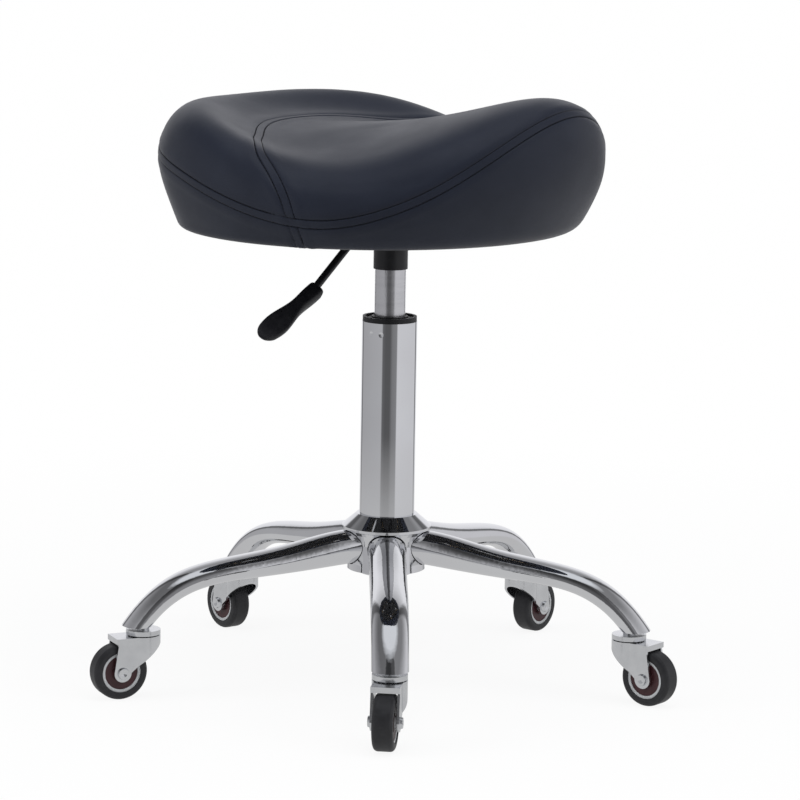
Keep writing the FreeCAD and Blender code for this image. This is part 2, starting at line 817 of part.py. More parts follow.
def make_tee_nut(name):
    """Tee nut sunk level with the board's top."""
    return turned(name, [
        ("bolt_diameter / 2", "board_top - tee_nut_barrel"),
        ("tee_nut_barrel_diameter / 2", "board_top - tee_nut_barrel"),
        ("tee_nut_barrel_diameter / 2", "tee_nut_seat"),
        ("tee_nut_flange_diameter / 2", "tee_nut_seat"),
        ("tee_nut_flange_diameter / 2", "board_top"),
        ("bolt_diameter / 2", "board_top")])


def make_mounting():
    half = "dish_flange_side / 2"
    square = [(f"-{half}", f"-{half}"), (half, f"-{half}"), (half, half), (f"-{half}", half)]
    plate = cut_plate("dish_plate", square, "XY_Plane", "dish_sheet")
    rounded(plate, "dish_corner_round", is_upright)
    plate.Placement = Placement(Vector(0, 0, value("board_under - dish_sheet / 2")), Rotation())
    floor = "dish_floor_diameter / 2"
    mouth = "dish_mouth_diameter / 2"
    cup_hole = disc("dish_cup_hole", f"{mouth} - dish_sheet",
                    "board_under - 2 * dish_sheet", "board_under + 1")
    cup = turned("dish_cup", [
        ("socket_diameter / 2 + press_gap", "dish_floor"),
        (floor, "dish_floor"),
        (mouth, "board_under - dish_sheet"),
        (mouth, "board_under"),
        (f"{mouth} - dish_sheet", "board_under"),
        (f"{mouth} - dish_sheet", "board_under - dish_sheet"),
        (f"{floor} - dish_sheet", "dish_inside"),
        ("socket_diameter / 2 + press_gap", "dish_inside")])
    slot = block("lever_slot", f"-{mouth} - lever_slot_width", f"-{floor} + 2 * dish_sheet",
                 "lever_slot_width / 2", "lever_level - lever_slot_drop", "board_under - dish_sheet")
    holes = through_holes("dish_hole", "bolt_diameter / 2 + bolt_hole_gap",
                          "board_under - 2 * dish_sheet", "board_under + 1")
    blank = joined("dish_blank", cut("dish_flange", plate, cup_hole), cup)
    keep("mount_dish", cut("mount_dish", blank, joined("dish_cuts", slot, *holes)))
    socket = "socket_diameter / 2"
    collar = "socket_collar_diameter / 2"
    narrowing = "tube_taper * socket_length / (socket_length + tube_proud)"
    keep("taper_socket", turned("taper_socket", [
        ("tube_radius + press_gap", "socket_foot"),
        (socket, "socket_foot"),
        (socket, "dish_floor - socket_collar_height"),
        (collar, "dish_floor - socket_collar_height"),
        (collar, "dish_floor"),
        (socket, "dish_floor"),
        (socket, "socket_top"),
        (f"tube_radius - {narrowing} + press_gap", "socket_top")]))
    keep("seat_bolts", group("seat_bolts", four_corners(make_bolt, "seat_bolt")))
    keep("tee_nuts", group("tee_nuts", four_corners(make_tee_nut, "tee_nut")))


# Height lever: a bent rod on a cross pin, its inner end over the lift's valve, with a moulded paddle

def lever_turn(fall):
    """Turns the +X axis to a direction that falls by an angle, on the sitter's right."""
    return Rotation(Vector(0, 1, 0), -value(fall)) * Rotation(Vector(0, 0, 1), 180)


def make_lever_rod():
    body = doc.addObject("PartDesign::Body", "lever_rod_form")
    fall = math.radians(value("lever_fall"))
    bend = value("lever_bend_radius")
    inner = Vector(value("lever_inner_reach"), 0, 0)
    knee = Vector(-value("lever_straight"), 0, 0)
    centre = knee - Vector(0, bend, 0)
    ahead = Vector(-math.cos(fall), -math.sin(fall), 0)
    knee_end = centre + Vector(-math.sin(fall), math.cos(fall), 0) * bend
    outer = knee_end + ahead * value("lever_arm_length")
    path = body.newObject("Sketcher::SketchObject", "lever_rod_path")
    path.AttachmentSupport = [(origin_plane(body, "XZ_Plane"), "")]
    path.MapMode = "FlatFace"
    bend_circle = Part.Circle(centre, Vector(0, 0, 1), bend)
    path.addGeometry([Part.LineSegment(inner, knee),
                      Part.ArcOfCircle(bend_circle, math.pi / 2, math.pi / 2 + fall),
                      Part.LineSegment(knee_end, outer)], False)
    path.addConstraint([Sketcher.Constraint("Tangent", 0, 2, 1, 1),
                        Sketcher.Constraint("Tangent", 1, 2, 2, 1),
                        Sketcher.Constraint("PointOnObject", 0, 1, -1),
                        Sketcher.Constraint("Horizontal", 0)])
    sized = [(Sketcher.Constraint("DistanceX", -1, 1, 0, 1, inner.x), "lever_inner_reach"),
             (Sketcher.Constraint("DistanceX", -1, 1, 0, 2, knee.x), "-lever_straight"),
             (Sketcher.Constraint("Radius", 1, bend), "lever_bend_radius"),
             (Sketcher.Constraint("Distance", 2, value("lever_arm_length")), "lever_arm_length"),
             (Sketcher.Constraint("DistanceY", 2, 2, 2, 1, -ahead.y * value("lever_arm_length")),
              "lever_arm_length * sin(lever_fall)")]
    for constraint, text in sized:
        index = path.addConstraint(constraint)
        path.setExpression(f"Constraints[{index}]", formula(text))
    section = body.newObject("Sketcher::SketchObject", "lever_rod_section")
    section.AttachmentSupport = [(origin_plane(body, "YZ_Plane"), "")]
    section.MapMode = "FlatFace"
    bind(section, AttachmentOffset__Base__z="lever_inner_reach")
    section.addGeometry(Part.Circle(Vector(), Vector(0, 0, 1), value("lever_rod_diameter / 2")), False)
    section.addConstraint(Sketcher.Constraint("Coincident", 0, 3, -1, 1))
    index = section.addConstraint(Sketcher.Constraint("Diameter", 0, value("lever_rod_diameter")))
    section.setExpression(f"Constraints[{index}]", formula("lever_rod_diameter"))
    pipe = body.newObject("PartDesign::AdditivePipe", "lever_rod_pipe")
    pipe.Profile = section
    pipe.Spine = (path, ["Edge1", "Edge2", "Edge3"])
    body.Placement = Placement(Vector(0, 0, value("lever_level")), Rotation())
    return body, Vector(outer.x, 0, value("lever_level") + outer.y)


def cross_pin(name, radius, half_length):
    """A cylinder along Y at the lever's pivot."""
    piece = doc.addObject("Part::Cylinder", name)
    bind(piece, Radius=radius, Height=f"2 * ({half_length})")
    end = Vector(-value("lever_pivot_offset"), value(half_length), value("lever_level"))
    piece.Placement = Placement(end, Rotation(Vector(1, 0, 0), 90))
    return piece


def make_paddle(rod_end):
    """Paddle along +X from its neck: plan outline shared with a side outline that thins to the tip. It is
    pitched up from the rod about the middle of its grip."""
    half = [("0", "paddle_neck_width / 2"), ("paddle_waist_place", "paddle_waist_width / 2"),
            ("paddle_blade_place", "paddle_blade_width / 2"), ("paddle_length", "paddle_tip_width / 2")]
    plan = cut_plate("paddle_plan", half + [(along, f"-({across})") for along, across in half[::-1]],
                     "XY_Plane", "2 * paddle_neck_depth")
    neck = value("paddle_waist_place") - 1
    rounded(plan, "paddle_round", lambda edge: is_upright(edge) and edge.Vertexes[0].X > neck)
    neck_half = "paddle_neck_depth / 2"
    side = cut_plate("paddle_side", [
        ("0", f"-{neck_half}"),
        ("paddle_waist_place", f"-{neck_half}"),
        ("paddle_length", f"{neck_half} - paddle_tip_depth"),
        ("paddle_length", neck_half),
        ("0", neck_half)], "XZ_Plane", "2 * paddle_blade_width")
    rod_turn = lever_turn("lever_fall")
    turn = lever_turn("lever_fall - paddle_pitch")
    middle = rod_end - rod_turn.multVec(Vector(value("paddle_grip / 2"), 0, 0))
    neck = middle - turn.multVec(Vector(value("paddle_grip / 2"), 0, 0))
    blank = shared("paddle_blank", plan, side)
    blank.Placement = Placement(neck, turn * Rotation(Vector(1, 0, 0), value("paddle_roll")))
    socket = doc.addObject("Part::Cylinder", "paddle_socket")
    bind(socket, Radius="lever_rod_diameter / 2 + press_gap", Height="2 * paddle_grip")
    socket.Placement = Placement(rod_end, rod_turn * Rotation(Vector(0, 1, 0), -90))
    return cut("lever_paddle", blank, socket)


def make_lever():
    rod, rod_end = make_lever_rod()
    hole = cross_pin("lever_rod_hole", "lever_pin_diameter / 2 + running_gap", "lever_rod_diameter")
    keep("lever_rod", cut("lever_rod", rod, hole))
    keep("lever_paddle", make_paddle(rod_end))
    keep("lever_pin", cross_pin("lever_pin", "lever_pin_diameter / 2", "lever_pin_length / 2"))
    gap = "lever_rod_diameter / 2 + bracket_gap"
    left = "-lever_pivot_offset - bracket_width / 2"
    right = "-lever_pivot_offset + bracket_width / 2"
    blank = block("bracket_blank", left, right, f"{gap} + bracket_sheet",
                  "dish_inside", "dish_inside + bracket_height")
    slot = block("bracket_slot", f"{left} - 1", f"{right} + 1", gap,
                 "dish_inside + bracket_sheet", "dish_inside + bracket_height + 1")
    hole = cross_pin("bracket_hole", "lever_pin_diameter / 2 + press_gap", "lever_pin_length")
    keep("lever_bracket", cut("lever_bracket", blank, joined("bracket_cuts", slot, hole)))


# Saddle: an egg-shaped cushion with a high rear, a dip, drooping sides and a pommel

def plan_radius(angle, inset, drawn_in=0):
    """Distance from the axis to the seat's outline, a circle drawn out by cosines of the angle from the front.
    With drawn_in at 1 it is the outline at the cushion's foot."""
    front = value("seat_front_reach") - inset - drawn_in * value("base_inset_front")
    rear = value("seat_rear_reach") - inset - drawn_in * value("base_inset_rear")
    half = value("seat_half_width") - inset - drawn_in * value("base_inset_side")
    ends = (front + rear) / 2
    return (ends + half) / 2 + (front - rear) / 2 * math.cos(angle) + (ends - half) / 2 * math.cos(2 * angle)


def smooth(rows, place):
    """Cubic interpolation in rows of (place, amount), with the slope at each row taken from its neighbours."""
    last = len(rows) - 1
    k = 0
    while k < last - 1 and place > rows[k + 1][0]:
        k += 1

    def slope(row):
        low, high = max(row - 1, 0), min(row + 1, last)
        return (rows[high][1] - rows[low][1]) / (rows[high][0] - rows[low][0])

    width = rows[k + 1][0] - rows[k][0]
    share = (place - rows[k][0]) / width
    start = rows[k][1] * (1 + 2 * share) * (1 - share) ** 2 + slope(k) * width * share * (1 - share) ** 2
    return start + rows[k + 1][1] * share ** 2 * (3 - 2 * share) - slope(k + 1) * width * share ** 2 * (1 - share)


def along_seat(name, steps):
    """Rows of a size that changes from the tail to the nose, at even shares of each reach."""
    rear, front = value("seat_rear_reach"), value("seat_front_reach")
    return [(share * (rear if share < 0 else front), value(f"{name}_{step}")) for share, step in steps]


crest_steps = [(-1, "tail"), (-0.66, "cantle"), (-0.33, "seat"), (0, "dip"),
               (0.25, "rise"), (0.5, "slope"), (0.75, "pommel"), (1, "nose")]
fall_steps = [(-1, "tail"), (-0.5, "cantle"), (0, "dip"), (0.5, "slope"), (1, "nose")]
power_steps = [(-1, "tail"), (0, "dip"), (1, "nose")]


def crown_height(forward, sideways, inset):
    """Height of the top: a crest line from tail to nose, flanks that fall away from it, a raised rim behind."""
    power = smooth(along_seat("flank_power", power_steps), forward)
    soft = value("crest_round")
    share = ((sideways ** 2 + soft ** 2) ** (power / 2) - soft ** power) / value("seat_half_width") ** power
    fall = smooth(along_seat("fall", fall_steps), forward) * share
    angle = abs(math.atan2(sideways, forward))
    out = math.hypot(forward, sideways) / plan_radius(angle, 0)
    fade = 1 / (1 + math.exp((value("cantle_rim_end") - math.degrees(angle)) / value("cantle_rim_fade")))
    away = (out - value("cantle_rim_place")) / value("cantle_rim_width")
    rim = value("cantle_rim_height") * fade * math.exp(-away ** 2)
    return smooth(along_seat("crest", crest_steps), forward) - fall + rim - inset


def by_direction(angle, name):
    """A size that runs from its front value through its side value to its rear value round the plan."""
    ahead = math.cos(angle)
    end = value(name + ("_front" if ahead > 0 else "_rear"))
    side = value(name + "_side")
    return side + (end - side) * ahead ** 2


def saddle_profile(angle, inset, floor):
    """Steps (radius, height) up one side: wall, round shoulder, crown and a small flat summit."""
    widest = plan_radius(angle, inset)
    foot = plan_radius(angle, inset, 1)
    shoulder = by_direction(angle, "shoulder")
    base = value("seat_base")
    ahead = 0.5 + 0.5 * math.cos(angle)
    bulge = value("bulge_rear") + (value("bulge_front") - value("bulge_rear")) * ahead

    def on_wall(height):
        up = (height - base) / value("wall_height")
        return foot + (widest - foot) * (up + bulge * up * (1 - up)), height

    def on_crown(radius):
        return radius, crown_height(radius * math.cos(angle), radius * math.sin(angle), inset)

    level = base + value("wall_height")
    for _ in range(14):
        level = max(0.6 * level + 0.4 * on_crown(on_wall(level)[0])[1], base + value("side_band"))
    edge = on_wall(level)
    start = on_wall(max(level - shoulder, floor + value("band_foot")))
    end = on_crown(edge[0] - shoulder)
    steps = [on_wall(floor), on_wall(value("board_top"))]
    steps.append(on_wall((value("board_top") + start[1]) / 2))
    for share in (0, 0.25, 0.5, 0.75, 1):
        weights = ((1 - share) ** 2, 2 * share * (1 - share), share ** 2)
        steps.append(tuple(sum(w * p[k] for w, p in zip(weights, (start, edge, end))) for k in (0, 1)))
    steps += [on_crown(end[0] * share) for share in (0.82, 0.62, 0.42, 0.24)]
    return steps + [(value("summit_radius"), crown_height(0, 0, inset))]


def saddle_rings(inset, floor):
    """Rings round the cushion from its floor up, each of arcs that meet between the rows of points."""
    profiles = [saddle_profile(math.pi * k / ring_rows, inset, floor) for k in range(ring_rows + 1)]

    def at(row, step):
        row = (row + ring_rows) % (2 * ring_rows) - ring_rows
        radius, height = profiles[abs(row)][step]
        angle = math.pi * row / ring_rows
        return Vector(radius * math.sin(angle), -radius * math.cos(angle), height)

    rings = []
    for step in range(len(profiles[0])):
        arcs = [Part.Arc(at(row - 1, step), at(row, step), at(row + 1, step)).toShape()
                for row in range(0, 2 * ring_rows, 2)]
        rings.append(Part.Wire(arcs))
    return rings


def base_prism(inset, low, thickness):
    """A flat piece of the cushion's base outline drawn in by an inset."""
    base = value("seat_base")
    face = Part.Face(saddle_rings(inset, base)[0])
    face.translate(Vector(0, 0, low - base))
    return face.extrude(Vector(0, 0, thickness))


def formed(name, rings):
    """A closed form lofted through rings."""
    piece = doc.addObject("Part::Feature", name)
    piece.Shape = Part.makeLoft(rings, True, True)
    return piece


def flat_form(name, inset, low, thickness):
    piece = doc.addObject("Part::Feature", name)
    piece.Shape = base_prism(inset, low, thickness)
    return piece


def make_saddle():
    skin = value("cover_thickness")
    base = value("seat_base")
    outside = formed("cover_outside", saddle_rings(0, base))
    inside = formed("cover_inside", saddle_rings(skin, base + skin))
    opening = flat_form("cover_opening", value("cover_tuck"), base - skin, 3 * skin)
    keep("seat_cover", cut("seat_cover", cut("cover_skin", outside, inside), opening))
    filling = skin + value("cover_gap")
    filling_rings = saddle_rings(filling, value("board_under"))
    blank = formed("board_blank", filling_rings[:2])
    bores = through_holes("board_bore", "tee_nut_barrel_diameter / 2", "board_under - 1", "board_top + 1")
    sinks = through_holes("board_sink", "tee_nut_flange_diameter / 2", "tee_nut_seat", "board_top + 1")
    keep("seat_board", cut("seat_board", blank, joined("board_holes", *bores, *sinks)))
    keep("seat_foam", formed("seat_foam", filling_rings[1:]))
    felt = flat_form("dust_cover_form", value("dust_cover_inset"), value("seat_base - dust_cover_thickness"),
                     value("dust_cover_thickness"))
    window_half = "dish_flange_side / 2 + dust_cover_gap"
    window = block("dust_cover_window", f"-({window_half})", window_half, window_half,
                   "seat_base - 10 * dust_cover_thickness", "seat_base + dust_cover_thickness")
    keep("dust_cover", cut("dust_cover", felt, window))


make_hub(make_legs())
make_column()
make_gas_lift()
make_casters()
make_mounting()
make_lever()
make_saddle()
doc.recompute()

failed = [thing.Name for thing in doc.Objects if "Invalid" in thing.State or "Error" in thing.State]
failed += [name for name, thing in nodes.items() if thing.Shape.isNull() or not thing.Shape.isValid()]
if failed:
    raise RuntimeError("not built: " + ", ".join(failed))

for name, thing in nodes.items():
    thing.Shape.exportStep(f"parts/{name}.step")
print(len(nodes), "sub-parts written")
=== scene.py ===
import json
import math
import bmesh
import bpy
import numpy as np
from mathutils import Matrix, Vector


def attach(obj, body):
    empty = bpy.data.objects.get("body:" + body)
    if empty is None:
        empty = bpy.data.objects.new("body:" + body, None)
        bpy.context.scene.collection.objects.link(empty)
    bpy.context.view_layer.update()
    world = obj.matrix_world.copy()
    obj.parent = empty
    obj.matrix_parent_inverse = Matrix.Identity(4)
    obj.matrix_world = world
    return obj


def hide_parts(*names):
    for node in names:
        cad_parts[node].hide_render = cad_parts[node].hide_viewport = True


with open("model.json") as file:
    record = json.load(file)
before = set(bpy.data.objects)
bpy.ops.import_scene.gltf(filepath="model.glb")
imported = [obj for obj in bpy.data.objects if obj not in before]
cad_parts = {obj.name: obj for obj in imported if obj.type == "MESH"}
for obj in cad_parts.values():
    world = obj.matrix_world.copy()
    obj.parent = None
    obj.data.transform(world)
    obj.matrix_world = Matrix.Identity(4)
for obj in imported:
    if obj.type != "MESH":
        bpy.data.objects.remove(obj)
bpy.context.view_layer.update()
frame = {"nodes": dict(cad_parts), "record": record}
nodes = frame["nodes"]
print("frame loaded:", len(nodes), "nodes")


# Node helpers
def wired(tree, kind, values, operation=None):
    # a node whose inputs, by place or name, take either another node's output or a plain value
    node = tree.nodes.new(kind)
    if operation:
        node.operation = operation
    for key, value in values.items():
        if isinstance(value, bpy.types.NodeSocket):
            tree.links.new(value, node.inputs[key])
        else:
            node.inputs[key].default_value = value
    return node


def mathNode(tree, operation, *values):
    return wired(tree, "ShaderNodeMath", dict(enumerate(values)), operation).outputs[0]


def colourMix(tree, share, first, second):
    node = tree.nodes.new("ShaderNodeMix")
    node.data_type = "RGBA"
    for name, value in (("Factor", share), ("A", first), ("B", second)):
        if isinstance(value, bpy.types.NodeSocket):
            tree.links.new(value, node.inputs[name])
        else:
            node.inputs[name].default_value = value if name == "Factor" else (*value, 1)
    return node.outputs["Result"]


def ranged(tree, value, start, end, low, high):
    # value stretched from start..end to low..high, and held at both ends
    node = wired(tree, "ShaderNodeMapRange",
                 {"Value": value, "From Min": start, "From Max": end, "To Min": low, "To Max": high})
    return node.outputs["Result"]


def newGroup(name, inputs, outputs):
    group = bpy.data.node_groups.new(name, "ShaderNodeTree")
    for label, kind in inputs:
        group.interface.new_socket(label, in_out="INPUT", socket_type="NodeSocket" + kind)
    for label, kind in outputs:
        group.interface.new_socket(label, in_out="OUTPUT", socket_type="NodeSocket" + kind)
    return group, group.nodes.new("NodeGroupInput").outputs, group.nodes.new("NodeGroupOutput").inputs


def placed(tree, group, values):
    node = tree.nodes.new("ShaderNodeGroup")
    node.node_tree = group
    for key, value in values.items():
        if isinstance(value, bpy.types.NodeSocket):
            tree.links.new(value, node.inputs[key])
        else:
            node.inputs[key].default_value = value
    return node.outputs


def noiseAt(tree, where, scale, detail, rough=0.55):
    node = wired(tree, "ShaderNodeTexNoise",
                 {"Vector": where, "Scale": scale, "Detail": detail, "Roughness": rough})
    return node.outputs["Fac"]


def grainGroup():
    # two noises over a piece, broad clouds and a fine grain, and light scuffs where both are high
    group, start, end = newGroup("surfaceGrain",
                                 [("Place", "Vector"), ("Cloud Scale", "Float"), ("Grain Scale", "Float")],
                                 [("Cloud", "Float"), ("Grain", "Float"), ("Scuff", "Float")])
    cloud = noiseAt(group, start["Place"], start["Cloud Scale"], 3)
    grain = noiseAt(group, start["Place"], start["Grain Scale"], 3)
    group.links.new(ranged(group, cloud, 0.3, 0.7, 0, 1), end["Cloud"])
    group.links.new(ranged(group, grain, 0.25, 0.75, 0, 1), end["Grain"])
    both = mathNode(group, "MULTIPLY", cloud, grain)
    group.links.new(ranged(group, both, 0.36, 0.46, 0, 1), end["Scuff"])
    return group


surfaceGrain = grainGroup()


def newMaterial(name):
    mat = bpy.data.materials.new(name)
    mat.use_nodes = True
    tree = mat.node_tree
    tree.nodes.clear()
    shader = tree.nodes.new("ShaderNodeBsdfPrincipled")
    wired(tree, "ShaderNodeOutputMaterial", {"Surface": shader.outputs["BSDF"]})
    return mat, tree, shader, tree.nodes.new("ShaderNodeTexCoord").outputs["Object"]


def bumped(tree, shader, height, strength, distance):
    node = wired(tree, "ShaderNodeBump", {"Height": height, "Strength": strength, "Distance": distance})
    tree.links.new(node.outputs["Normal"], shader.inputs["Normal"])


# Finishes by material slot: two tints, roughness, cloud and grain scale, bump strength, metallic, specular
# level, and how far the grain is drawn out along the column's axis
finishValues = {
    "chrome": ("chromePlate", (0.74, 0.74, 0.76), (0.78, 0.79, 0.81), (0.030, 0.055), 14, 60, 0.0, 1, 0.5, 1),
    "tube": ("groundTube", (0.64, 0.64, 0.66), (0.70, 0.70, 0.72), (0.19, 0.26), 20, 240, 0.04, 1, 0.5, 12),
    "zinc": ("zincPlate", (0.66, 0.67, 0.69), (0.76, 0.77, 0.79), (0.15, 0.24), 55, 500, 0.03, 1, 0.5, 1),
    "steel": ("groundSteel", (0.58, 0.59, 0.61), (0.66, 0.67, 0.69), (0.22, 0.32), 90, 600, 0.08, 1, 0.5, 1),
    "black_metal": ("blackPaint", (0.007, 0.007, 0.009), (0.012, 0.012, 0.014),
                    (0.30, 0.42), 110, 1100, 0.12, 0, 0.4, 1),
    "black_plastic": ("blackPlastic", (0.006, 0.006, 0.008), (0.011, 0.011, 0.013),
                      (0.36, 0.50), 130, 1700, 0.18, 0, 0.35, 1),
    "rubber": ("blackRubber", (0.012, 0.012, 0.013), (0.020, 0.020, 0.021),
               (0.60, 0.75), 110, 900, 0.20, 0, 0.4, 1),
    "tyre": ("wheelTyre", (0.014, 0.014, 0.016), (0.024, 0.024, 0.027),
             (0.42, 0.56), 90, 1200, 0.15, 0, 0.4, 1),
    "rim": ("wheelRing", (0.50, 0.51, 0.52), (0.58, 0.59, 0.60), (0.38, 0.50), 80, 700, 0.05, 0, 0.5, 1),
    "cap": ("wheelCap", (0.040, 0.013, 0.016), (0.058, 0.019, 0.022), (0.32, 0.44), 90, 900, 0.08, 0, 0.4, 1),
    "board": ("plywood", (0.45, 0.32, 0.19), (0.58, 0.43, 0.27), (0.55, 0.70), 30, 300, 0.30, 0, 0.3, 1),
    "felt": ("dustCloth", (0.012, 0.012, 0.013), (0.024, 0.024, 0.026),
             (0.85, 0.95), 200, 1800, 0.60, 0, 0.3, 1),
    "foam": ("foamBlock", (0.55, 0.52, 0.40), (0.65, 0.61, 0.48), (0.90, 0.98), 110, 900, 0.60, 0, 0.3, 1),
    "thread": ("blackThread", (0.003, 0.003, 0.004), (0.006, 0.006, 0.007),
               (0.50, 0.65), 300, 2500, 0.30, 0, 0.3, 1),
}


def plainFinish(name, tint, tint2, rough, cloudScale, grainScale, bump, metallic, specular, drawn):
    # clouds in colour and roughness, scuffs a little rougher, grain as bump
    mat, tree, shader, where = newMaterial(name)
    shader.inputs["Metallic"].default_value = metallic
    shader.inputs["Specular IOR Level"].default_value = specular
    if drawn != 1:
        where = wired(tree, "ShaderNodeMapping", {"Vector": where, "Scale": (1, 1, drawn)}).outputs["Vector"]
    grain = placed(tree, surfaceGrain, {"Place": where, "Cloud Scale": cloudScale, "Grain Scale": grainScale})
    tree.links.new(colourMix(tree, grain["Cloud"], tint, tint2), shader.inputs["Base Color"])
    worn = mathNode(tree, "MULTIPLY_ADD", grain["Scuff"], 0.25, grain["Cloud"])
    tree.links.new(ranged(tree, worn, 0, 1.25, *rough), shader.inputs["Roughness"])
    if bump:
        bumped(tree, shader, grain["Grain"], bump, 0.0003)
    return mat


leather = {
    "tint": (0.0122, 0.0150, 0.0250), "paler": (0.0176, 0.0212, 0.0340), "rough": (0.36, 0.46),
    "specular": 0.26, "cloud": 16, "pebble": 1150, "crease": 210, "pebbleDepth": 0.10, "creaseDepth": 0.07,
    "pebbleShare": 0.35, "bumpDistance": 0.0004,
}


def leathercloth():
    # embossed grain of small pebbles over faint creases; pebble tops are smoother and a little paler
    mat, tree, shader, where = newMaterial("leathercloth")
    shader.inputs["Specular IOR Level"].default_value = leather["specular"]
    grain = placed(tree, surfaceGrain,
                   {"Place": where, "Cloud Scale": leather["cloud"], "Grain Scale": leather["crease"]})
    pebbles = wired(tree, "ShaderNodeTexVoronoi", {"Vector": where, "Scale": leather["pebble"]})
    top = ranged(tree, pebbles.outputs["Distance"], 0.05, 0.75, 1, 0)
    clouds = mathNode(tree, "MULTIPLY", grain["Cloud"], 1 - leather["pebbleShare"])
    tone = mathNode(tree, "MULTIPLY_ADD", top, leather["pebbleShare"], clouds)
    tree.links.new(colourMix(tree, tone, leather["tint"], leather["paler"]), shader.inputs["Base Color"])
    tree.links.new(ranged(tree, tone, 1, 0, *leather["rough"]), shader.inputs["Roughness"])
    creased = leather["creaseDepth"] / leather["pebbleDepth"]
    relief = mathNode(tree, "MULTIPLY_ADD", grain["Grain"], creased, top)
    bumped(tree, shader, relief, leather["pebbleDepth"], leather["bumpDistance"])
    return mat


finishes = {slot: plainFinish(*values) for slot, values in finishValues.items()}
finishes["cover"] = leathercloth()
ownFinish = {"gas_tube": "tube"}
for part in frame["record"]["subparts"]:
    node = nodes[part["node"]]
    node.data.materials.clear()
    node.data.materials.append(finishes[ownFinish.get(part["node"], part["material_slot"])])


# Saddle upholstery. Angles run from the pommel, to either side. The plan is a circle drawn out by cosines; the
# side is a wall, a round shoulder and a crown. Shares along the seat go from -1 at the tail to 1 at the nose.
saddle = {
    "plan": (0.21520, -0.01059, 0.00199), "footPlan": (0.17892, -0.01490, -0.00173),
    "foot": 0.4167, "wallTop": 0.5053, "reach": (0.2257, 0.2045), "halfWidth": 0.2111,
    "bulge": (0.026, 0.420), "shoulder": (0.0622, 0.0341, 0.0765),
    "crestAt": (-1, -0.66, -0.33, 0, 0.25, 0.5, 0.75, 1),
    "crest": (0.50086, 0.50800, 0.50797, 0.51327, 0.52050, 0.53269, 0.54638, 0.56129),
    "fallAt": (-1, -0.5, 0, 0.5, 1),
    "fall": (0.0376, 0.0289, 0.0618, 0.0788, 0.1179), "power": (3.066, 1.973, 1.541, 1.627, 1.892),
    "rim": 0.0388, "rimAt": 0.840, "rimWide": 0.17, "rimEnd": 1.442, "rimFade": 0.16,
    "crestRound": 0.014,
    "seam": (0.2453, 0.0310, 0.1776),
    "cross": ((82.3, 1.14), (85.0, 1.41), (88.0, 1.64), (91.5, 1.82), (97.0, 2.00), (104.5, 2.115),
              (113.5, 2.205), (124.0, 2.28), (137.5, 2.32), (150.0, 2.335), (164.0, 2.347), (180.0, 2.355)),
    "softRows": (16.0, 30.0), "softSide": (1.13, 0.70), "softAround": 2.4, "lapShift": 1.2, "lapSpread": 0.3,
    "tuck": 0.036, "edgeRound": (0.005, 0.015), "strapHalf": 0.00365, "strapRise": 0.00045,
    "strapEdge": 0.00025, "seamDepth": 0.0011, "seamWide": 0.00055, "swell": (0.0006, 0.009, 0.0045),
    "lapClear": (0.0031, 0.0006), "middle": 0.045, "closeShares": (0.985, 0.5, 0.02), "closeRise": 0.004,
}


def naturalLine(places, amounts):
    # natural cubic spline: second slopes from one linear solve, then cubic pieces between the knots
    x, y = np.array(places, float), np.array(amounts, float)
    h, n = np.diff(x), len(x)
    a, rhs = np.eye(n), np.zeros(n)
    for k in range(1, n - 1):
        a[k, k - 1:k + 2] = h[k - 1], 2 * (h[k - 1] + h[k]), h[k]
        rhs[k] = 6 * ((y[k + 1] - y[k]) / h[k] - (y[k] - y[k - 1]) / h[k - 1])
    m = np.linalg.solve(a, rhs)

    def at(v):
        k = np.clip(np.searchsorted(x, v) - 1, 0, n - 2)
        u, w = x[k + 1] - v, v - x[k]
        return ((m[k] * u ** 3 + m[k + 1] * w ** 3) / (6 * h[k]) + (y[k] / h[k] - m[k] * h[k] / 6) * u
                + (y[k + 1] / h[k] - m[k + 1] * h[k] / 6) * w)
    return at


def alongSeat(shares, amounts):
    rear, front = saddle["reach"]
    return naturalLine([u * (rear if u < 0 else front) for u in shares], amounts)


crestLine = alongSeat(saddle["crestAt"], saddle["crest"])
fallLine = alongSeat(saddle["fallAt"], saddle["fall"])
powerLine = alongSeat(saddle["fallAt"], saddle["power"])


def cosines(terms, angle):
    # sum of terms[k] * cos(k * angle)
    return sum(t * np.cos(k * angle) for k, t in enumerate(terms))


def crownHeight(f, s):
    # crest line less a fall that grows as a power of the distance to the side, plus the raised rim behind
    inside = np.clip(f, -saddle["reach"][0], saddle["reach"][1])
    angle = np.abs(np.arctan2(s, f))
    out = np.hypot(f, s) / cosines(saddle["plan"], angle)
    fade = 1 / (1 + np.exp((saddle["rimEnd"] - angle) / saddle["rimFade"]))
    rim = saddle["rim"] * fade * np.exp(-((out - saddle["rimAt"]) / saddle["rimWide"]) ** 2)
    p = np.clip(powerLine(inside), 1.2, 6)
    c = saddle["crestRound"]
    side = ((s * s + c ** 2) ** (p / 2) - c ** p) / saddle["halfWidth"] ** p
    return rim + crestLine(f) - fallLine(inside) * side


def wallRadius(angle, z):
    # foot outline growing to the widest outline with height, bulged by t (1 - t)
    ahead = 0.5 + 0.5 * np.cos(angle)
    bulge = saddle["bulge"][0] + (saddle["bulge"][1] - saddle["bulge"][0]) * ahead
    t = np.clip((z - saddle["foot"]) / (saddle["wallTop"] - saddle["foot"]), 0, 1.6)
    low, wide = cosines(saddle["footPlan"], angle), cosines(saddle["plan"], angle)
    return low + (wide - low) * (t + bulge * t * (1 - t))


